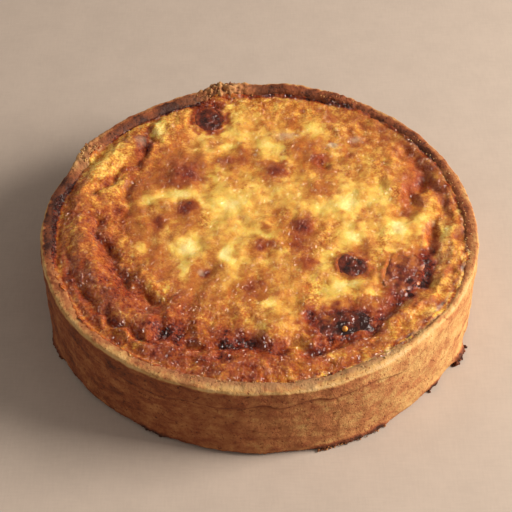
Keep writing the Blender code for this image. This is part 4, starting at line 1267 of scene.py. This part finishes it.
def custard_material():
    """Egg custard with cheese, baked.

    To the eye: a thin skin with an oily shine, lemon where it has only just set, through gold and
    orange to maroon where it caught, mottled down to a fraction of a millimetre.
    """
    c = colours()
    tree, place, brown, ash, crinkle = new_tree("egg_custard_baked", "browning", "ash", "crinkle")
    cells = grains(place, (0.0026, 2), (0.0010, 1), (0.0060, 3), (0.0019, 2))
    mottle, freckles, clusters, grain = (add_node(tree, "TexNoise", settings) for settings in cells)
    mottle = weighted_sum(tree, mottle, ((freckles, 1.3),))
    strength = add_node(tree, "Math", {"operation": "MULTIPLY_ADD", 0: crinkle, 1: 0.36, 2: 0.12})
    centred = add_node(tree, "Math", {"operation": "SUBTRACT", 0: mottle, 1: 0.5})
    shade = add_node(tree, "Math", {"operation": "MULTIPLY_ADD", 0: centred, 1: strength, 2: brown})
    levels = (0.00, 0.15, 0.30, 0.46, 0.60, 0.74, 0.88, 1.00)
    baked = (c.lemon, c.yellow, c.golden, c.amber, c.orange_brown, c.red_brown, c.maroon, c.burnt)
    tone = add_node(tree, "ValToRGB", {"stops": list(zip(levels, baked)), "Fac": shade})
    skin = add_node(tree, "Mix", {"data_type": "RGBA", 0: ash, 6: tone, 7: c.ash}).outputs[2]
    dry = add_node(tree, "MapRange", {"Value": mottle, **spans(0.35, 0.65, 0.38, 0.58)})
    warp = add_node(tree, "TexNoise", {"Vector": place, "Scale": 1 / 0.0034, "Detail": 1.0})
    wander = {"operation": "MULTIPLY_ADD", 0: warp.outputs["Color"], 1: (0.005, 0.005, 0.005), 2: place}
    blister = {"Vector": add_node(tree, "VectorMath", wander), "Scale": 1 / 0.0021}
    away = add_node(tree, "TexVoronoi", blister)
    sag = add_node(tree, "Math", {"operation": "MULTIPLY", 0: away, 1: away})
    crowd = add_node(tree, "MapRange", {"Value": clusters, **spans(0.38, 0.56, 1.0, 3.4)})
    dome = add_node(tree, "Math", {"operation": "MULTIPLY", 0: sag, 1: crowd})
    bumps = add_node(tree, "Math", {"operation": "SUBTRACT", 0: grain, 1: dome})
    rough = add_node(tree, "Math", {"operation": "MULTIPLY_ADD", 0: crinkle, 1: 0.65, 2: 0.45})
    height = add_node(tree, "Math", {"operation": "MULTIPLY", 0: bumps, 1: rough})
    settings = {
        "Base Color": skin,
        "Roughness": dry,
        "Normal": add_node(tree, "Bump", {"Height": height, "Distance": 0.0001}),
        "IOR": 1.42,
        "Specular IOR Level": 0.07,
        "Coat Weight": 0.9,
        "Coat Roughness": 0.09,
        "Coat IOR": 1.52,
        "Coat Normal": add_node(tree, "Bump", {"Height": height, "Distance": 0.0012}),
        "Subsurface Weight": 0.85,
        "Subsurface Scale": 0.0026,
        "Subsurface Radius": (1.0, 0.42, 0.18),
    }
    return finished("egg_custard_baked", settings)


def pastry_material():
    """Shortcrust, rolled and baked.

    To the eye: dry and sandy, pale gold on the rim, browner down the wall, with a fine open crumb,
    and shiny only where custard ran over it and burnt.
    """
    c = colours()
    tree, place, brown, dusty = new_tree("shortcrust_baked", "browning", "dusty")
    cells = grains(place, (0.0100, 4), (0.0035, 3), (0.0009, 2), (0.0013, 1), (0.0011, 3))
    blotch, mottle, speckle, open_crumb, sand = (add_node(tree, "TexNoise", s) for s in cells)
    pits = add_node(tree, "MapRange", {"Value": open_crumb, **spans(0.64, 0.72, 0.5, 1.5)})
    # Painted shade: the dented pits of the open crumb are also darker
    shade = weighted_sum(tree, brown, ((blotch, 0.66), (mottle, 0.34), (speckle, 0.22), (pits, 0.18)))
    stops = ((0.00, c.cream), (0.26, c.sand), (0.46, c.crust), (0.66, c.dark_crust), (0.95, c.char))
    tone = add_node(tree, "ValToRGB", {"stops": stops, "Fac": shade})
    crumb = weighted_sum(tree, sand, ((pits, -0.5),))
    settings = {
        "Base Color": add_node(tree, "Mix", {"data_type": "RGBA", 0: dusty, 6: tone, 7: c.dust}).outputs[2],
        "Roughness": add_node(tree, "MapRange", {"Value": shade, **spans(0.70, 0.95, 0.85, 0.58)}),
        "Normal": add_node(tree, "Bump", {"Height": crumb, "Distance": 0.0005}),
        "IOR": 1.45,
        "Specular IOR Level": 0.25,
    }
    return finished("shortcrust_baked", settings)


def bacon_material():
    """Smoked streaky bacon, baked in the custard.

    To the eye: shrunken, dark red-brown to black, with a wet shine of rendered fat.
    """
    c = colours()
    # The charred values hold char, and painted shade toward the right and the front
    tree, place, charred = new_tree("smoked_bacon_roasted", "charred")
    cells = grains(place, (0.0026, 3), (0.0021, 2))
    fibre, grain = (add_node(tree, "TexNoise", settings) for settings in cells)
    shade = weighted_sum(tree, charred, ((fibre, 1.0),))
    stops = ((0.05, c.bacon_fat), (0.42, c.bacon), (0.80, c.bacon_dark))
    settings = {
        "Base Color": add_node(tree, "ValToRGB", {"stops": stops, "Fac": shade}),
        "Roughness": 0.42,
        "Normal": add_node(tree, "Bump", {"Height": grain, "Distance": 0.0005}),
        "IOR": 1.45,
        "Specular IOR Level": 0.15,
        "Coat Weight": 1.0,
        "Coat Roughness": 0.08,
        "Coat Normal": add_node(tree, "Bump", {"Height": grain, "Distance": 0.0016}),
    }
    return finished("smoked_bacon_roasted", settings)


def bead_material():
    """A drop of cheese, melted and set.

    To the eye: a clear amber bead with a sharp highlight.
    """
    c = colours()
    tree, place = new_tree("cheese_melted")
    patch = add_node(tree, "TexNoise", *grains(place, (0.0012, 3)))
    settings = {
        "Base Color": add_node(tree, "ValToRGB", {"stops": ((0.3, c.amber), (0.7, c.golden)), "Fac": patch}),
        "Roughness": 0.15,
        "IOR": 1.45,
        "Subsurface Weight": 0.3,
        "Subsurface Scale": 0.001,
    }
    return finished("cheese_melted", settings)


def paper_material():
    """Heavy matt paper.

    To the eye: flat and pale, with barely visible clouding of its fibres.
    """
    c = colours()
    tree, place = new_tree("paper_matt")
    cloud = add_node(tree, "TexNoise", *grains(place, (0.02, 6)))
    for stretch in ((1, 0.12, 1), (0.12, 1, 1)):
        threads = add_node(tree, "Mapping", {"Scale": stretch, "Vector": place}).outputs["Vector"]
        fibres = add_node(tree, "TexNoise", *grains(threads, (0.0009, 1)))
        cloud = weighted_sum(tree, cloud, ((fibres, 0.5),))
    darker = (*(part * 0.93 for part in c.floor[:3]), 1)
    tone = add_node(tree, "ValToRGB", {"stops": ((0.3, darker), (0.7, c.floor)), "Fac": cloud})
    return finished("paper_matt", {"Base Color": tone, "Roughness": 0.9, "Specular IOR Level": 0.2})


class QUICHE_OT_pastry_case(bpy.types.Operator):
    """Builds the shortcrust case with its worn rim, crease and burnt foot, and its painted shade and
    highlight
    """

    bl_idname = "quiche.pastry_case"
    bl_label = "Pastry case"

    def execute(self, context):
        turn = np.linspace(0, math.tau, CASE_AROUND, endpoint=False)
        radius, height, marks = fine_profile(turn)
        rows = len(radius)
        angle = np.broadcast_to(turn, radius.shape)
        steps = np.hypot(np.diff(radius, axis=0), np.diff(height, axis=0)).mean(1)
        along = np.concatenate([[0], np.cumsum(steps)])
        row = np.arange(rows)
        outer_edge = marks[OUTER_EDGE_RING]
        inner_edge = marks[INNER_EDGE_RING]
        share = (along - along[outer_edge]) / (along[inner_edge] - along[outer_edge])
        on_rim = ease(row - outer_edge, *RIM_FROM_ROW) * (1 - ease(row - inner_edge, *RIM_TO_ROW))
        on_wall = 1 - ease(row - outer_edge, *WALL_TO_ROW)
        share, on_rim, on_wall, along = (
            np.broadcast_to(values[:, None], radius.shape) for values in (share, on_rim, on_wall, along)
        )
        relief = case_relief(angle, along, height, on_rim, on_wall)
        browning = case_browning_and_painted_light(angle, share, height, on_rim, on_wall, relief)
        dusty = case_dust(angle, share, on_rim)
        visible = (row > 0) & (row < marks[INNER_EDGE_RING + 1] + 2)
        relief = relief * visible[:, None]
        lean_out = np.gradient(height, axis=0)
        lean_up = -np.gradient(radius, axis=0)
        size = np.hypot(lean_out, lean_up)
        radius = radius + relief * lean_out / size
        height = np.maximum(height + relief * lean_up / size, 0)
        points = np.dstack([on_circle(radius, angle), height]).reshape(-1, 3)
        floor_middle = [0, 0, sizes().floor_thickness]
        verts = np.concatenate([points, [[0, 0, 0], floor_middle]]) - middle_of_outline()
        count = len(points)
        faces = ring_walls(rows, CASE_AROUND)
        faces += fan(0, CASE_AROUND, count, True)
        faces += fan(count - CASE_AROUND, CASE_AROUND, count + 1, False)
        looks = {
            "browning": np.append(browning.ravel(), [0.5, 0.5]),
            "dusty": np.append(dusty.ravel(), [0, 0]),
        }
        piece = add_mesh("shortcrust_case", verts, faces, pastry_material(), **looks)
        hand_over(piece, "shortcrust_pastry", "pastry_case")
        return {"FINISHED"}


class QUICHE_OT_custard(bpy.types.Operator):
    """Builds the baked custard with its crinkled, browned skin, with painted shade in its dips and grooves"""

    bl_idname = "quiche.custard"
    bl_label = "Custard"

    def execute(self, context):
        count = 6 * CUSTARD_RINGS
        angle = np.linspace(0, math.tau, count, endpoint=False)
        inner = inner_radius(angle) + SPILL_LEAST
        low = sizes().floor_thickness + CUSTARD_CLEARANCE
        plan = [on_circle(inner - inward, angle) for inward, _ in CUSTARD_SIDE]
        outer = count * len(CUSTARD_SIDE)
        faces = ring_walls(len(CUSTARD_SIDE) + 1, count)
        for ring in range(CUSTARD_RINGS, 0, -1):
            turn = np.linspace(0, math.tau, 6 * ring, endpoint=False)
            radius = (inner_radius(turn) + spill(turn)) * (ring / CUSTARD_RINGS) ** RING_CROWDING
            plan.append(on_circle(radius, turn))
            if ring > 1:
                faces += ring_faces(outer, outer + 6 * ring, ring)
                outer += 6 * ring
        plan.append(np.zeros((1, 2)))
        plan = np.concatenate(plan)
        tip = len(plan) - 1
        faces += fan(tip - 6, 6, tip, False)
        faces += fan(0, count, tip + 1, True)
        x, y = plan.T
        level = broad_browning_and_groove_shade(x, y)
        crinkled = crinkling(x, y, level)
        relief = skin_relief(x, y, crinkled)
        z = custard_top(x, y, relief)
        for step, (_, above) in enumerate(CUSTARD_SIDE):
            z[step * count : (step + 1) * count] = low + above
        verts = np.concatenate([np.stack([x, y, z], -1), [[0, 0, low]]]) - middle_of_outline()
        looks = {
            "browning": np.append(skin_browning_and_dip_shade(x, y, level, relief), MIDDLE_LEVEL),
            "crinkle": np.append(crinkled, 0),
            "ash": np.append(custard_ash(x, y), 0),
        }
        piece = add_mesh("baked_custard", verts, faces, custard_material(), **looks)
        hand_over(piece, "baked_custard", "custard_filling")
        return {"FINISHED"}


class QUICHE_OT_bacon(bpy.types.Operator):
    """Builds the bacon pieces and the bead of melted cheese on the front one"""

    bl_idname = "quiche.bacon"
    bl_label = "Bacon"

    def execute(self, context):
        material = bacon_material()
        middle = Vector(middle_of_outline())
        rays, faces = ball(LARDON_FINENESS)
        for lardon in LARDONS:
            turned = math.radians(lardon.turn_deg)
            reach = (np.abs(rays) ** LARDON_SQUARENESS).sum(1) ** (-1 / LARDON_SQUARENESS)
            u = rays[:, 0] + 2 * rays[:, 2]
            v = rays[:, 1] - rays[:, 2]
            reach = reach * (1 + LARDON_ROUGHNESS * noise(u, v, LARDON_CELL, lardon.seed))
            points = reach[:, None] * rays * lardon.half_sizes
            x, y = points[:, 0] + lardon.place[0], points[:, 1] + lardon.place[1]
            points[:, 2] += ease(rays[:, 2], *WRINKLED_BACON) * layered(x, y, BACON_WRINKLES)
            to_right = points[:, 0] * math.cos(turned) - points[:, 1] * math.sin(turned)
            to_front = -points[:, 0] * math.sin(turned) - points[:, 1] * math.cos(turned)
            away = np.hypot(rays[:, 0], rays[:, 1])
            fat = FAT_PALER * (1 - lardon.border) * ease(away, *FAT_EDGE)
            charred = lardon.charred + layered(x, y, BACON_CHAR) - fat
            # Darker toward the right and the front: partly char, partly painted shade cast by the custard
            # beside it
            charred = charred + lardon.burnt_side * SIDE_SHARE * (to_right + to_front)
            piece = add_mesh(lardon.name.replace("lardon", "bacon"), points, faces, material, charred=charred)
            frame_of_piece = lardon_turn(lardon)
            lift = frame_of_piece.col[2] * (LARDON_PROUD - lardon.half_sizes[2])
            piece.location = Vector(lardon.place) + lift - middle
            piece.rotation_euler = frame_of_piece.to_euler()
            hand_over(piece, "smoked_bacon", lardon.name)
        points, faces = ball(BEAD_FINENESS)
        piece = add_mesh("cheese_bead", points * BEAD_RADIUS, faces, bead_material())
        piece.location = Vector(BEAD_PLACE) - middle
        hand_over(piece, "baked_custard")
        return {"FINISHED"}


class QUICHE_OT_crumbs(bpy.types.Operator):
    """Builds the crumbs baked on at the foot and on the broken parts of the rim"""

    bl_idname = "quiche.crumbs"
    bl_label = "Crumbs"

    def execute(self, context):
        shape, shape_faces = ball(CRUMB_FINENESS)
        random = np.random.default_rng(CRUMB_SEED)
        points = []
        faces = []
        browning = []
        for patch in [patch for patch in CRUMB_PATCHES for _ in range(patch.count)]:
            angle = np.radians(np.array([random.uniform(*patch.angles)]))
            away = random.uniform(*patch.aways)
            height = random.uniform(*patch.heights)
            radius = random.uniform(*patch.radii)
            if patch.on_rim:
                out = rim_radius(angle)[0] - away
                height = rim_top(angle, np.array([out]))[0] + height
            else:
                out = base_radius(angle)[0] + away
                height = max(height, CRUMB_LEAST_HEIGHT * radius)
            lobes = random.normal(0, 1, (3, 4))
            uneven = 1 + CRUMB_UNEVENNESS * np.sin(CRUMB_WAVE * shape @ lobes).sum(1)
            squash = random.uniform(*CRUMB_SQUASH, 3)
            faces.append(np.array(shape_faces) + len(points) * len(shape))
            points.append(shape * uneven[:, None] * squash * radius + [*on_circle(out, angle[0]), height])
            browning += [random.uniform(*patch.levels)] * len(shape)
        verts = np.concatenate(points)
        verts[:, 2] = np.maximum(verts[:, 2], 0)
        faces = np.concatenate(faces).tolist()
        material = bpy.data.materials["shortcrust_baked"]
        looks = {"browning": browning, "dusty": np.zeros(len(verts))}
        piece = add_mesh("pastry_crumbs", verts - middle_of_outline(), faces, material, **looks)
        hand_over(piece, "shortcrust_pastry")
        return {"FINISHED"}


class QUICHE_OT_stage(bpy.types.Operator):
    """Adds the pale floor, the soft light from the right and the camera"""

    bl_idname = "quiche.stage"
    bl_label = "Stage"

    def execute(self, context):
        scene = context.scene
        scene.view_settings.view_transform = "Standard"
        corners = [(x * FLOOR_HALF, y * FLOOR_HALF, 0) for x, y in ((-1, -1), (1, -1), (1, 1), (-1, 1))]
        floor = add_mesh("floor", corners, [(0, 1, 2, 3)], paper_material())
        world = bpy.data.worlds.new("soft_room")
        world.use_nodes = True
        tree = world.node_tree
        sight = add_node(tree, "TexCoord").outputs["Generated"]
        falls = []
        for side, span in ROOM_FALLS:
            facing = add_node(tree, "VectorMath", {"operation": "DOT_PRODUCT", 0: sight, 1: side})
            falls.append(add_node(tree, "MapRange", {"Value": facing.outputs["Value"], **spans(*span)}))
        strength = add_node(tree, "Math", {"operation": "SUBTRACT", 0: falls[0], 1: falls[1]})
        room = tree.nodes["Background"]
        room.inputs["Color"].default_value = linear(ROOM_COLOUR)
        tree.links.new(strength.outputs[0], room.inputs["Strength"])
        scene.world = world
        lamp = bpy.data.lights.new("softbox", "AREA")
        lamp.shape = "SQUARE"
        lamp.size = LAMP_SIZE
        lamp.energy = LAMP_WATTS
        lamp.color = linear(LAMP_COLOUR)[:3]
        light = bpy.data.objects.new("softbox", lamp)
        light.location = LAMP_PLACE
        lens = bpy.data.cameras.new("camera")
        lens.sensor_width = SENSOR_WIDTH
        lens.lens = SENSOR_WIDTH * FOCAL_PIXELS / PHOTO_PIXELS
        camera = bpy.data.objects.new("camera", lens)
        tilt = math.radians(CAMERA_TILT_DEG)
        look = Vector((0, -math.cos(tilt), math.sin(tilt)))
        camera.location = Vector(CAMERA_TARGET) + CAMERA_DISTANCE * look
        for thing, back in ((light, light.location), (camera, look)):
            thing.rotation_mode = "QUATERNION"
            thing.rotation_quaternion = back.to_track_quat("Z", "Y")
            scene.collection.objects.link(thing)
        scene.camera = camera
        return {"FINISHED"}


class QUICHE_PT_panel(bpy.types.Panel):
    """Lists the pieces of the tart with their sizes and colours"""

    bl_label = "Quiche"
    bl_idname = "QUICHE_PT_panel"
    bl_space_type = "VIEW_3D"
    bl_region_type = "UI"
    bl_category = "Quiche"

    def draw(self, context):
        for operator in OPERATORS:
            self.layout.operator(operator.bl_idname)
        for group in (sizes(), colours()):
            for key in group.bl_rna.properties.keys():
                if key not in ("rna_type", "name"):
                    self.layout.prop(group, key)


OPERATORS = (
    QUICHE_OT_stage,
    QUICHE_OT_pastry_case,
    QUICHE_OT_crumbs,
    QUICHE_OT_custard,
    QUICHE_OT_bacon,
)
CLASSES = (QuicheSizes, QuicheColours, *OPERATORS, QUICHE_PT_panel)


def register():
    """Adds the classes and the settings."""
    for cls in CLASSES:
        bpy.utils.register_class(cls)
    bpy.types.Scene.quiche_sizes = bpy.props.PointerProperty(type=QuicheSizes)
    bpy.types.Scene.quiche_colours = bpy.props.PointerProperty(type=QuicheColours)


def unregister():
    """Takes the classes and the settings away."""
    del bpy.types.Scene.quiche_colours
    del bpy.types.Scene.quiche_sizes
    for cls in reversed(CLASSES):
        bpy.utils.unregister_class(cls)


def main():
    """Builds everything."""
    register()
    bpy.ops.quiche.stage()
    bpy.ops.quiche.pastry_case()
    bpy.ops.quiche.crumbs()
    bpy.ops.quiche.custard()
    bpy.ops.quiche.bacon()


if __name__ == "__main__":
    main()
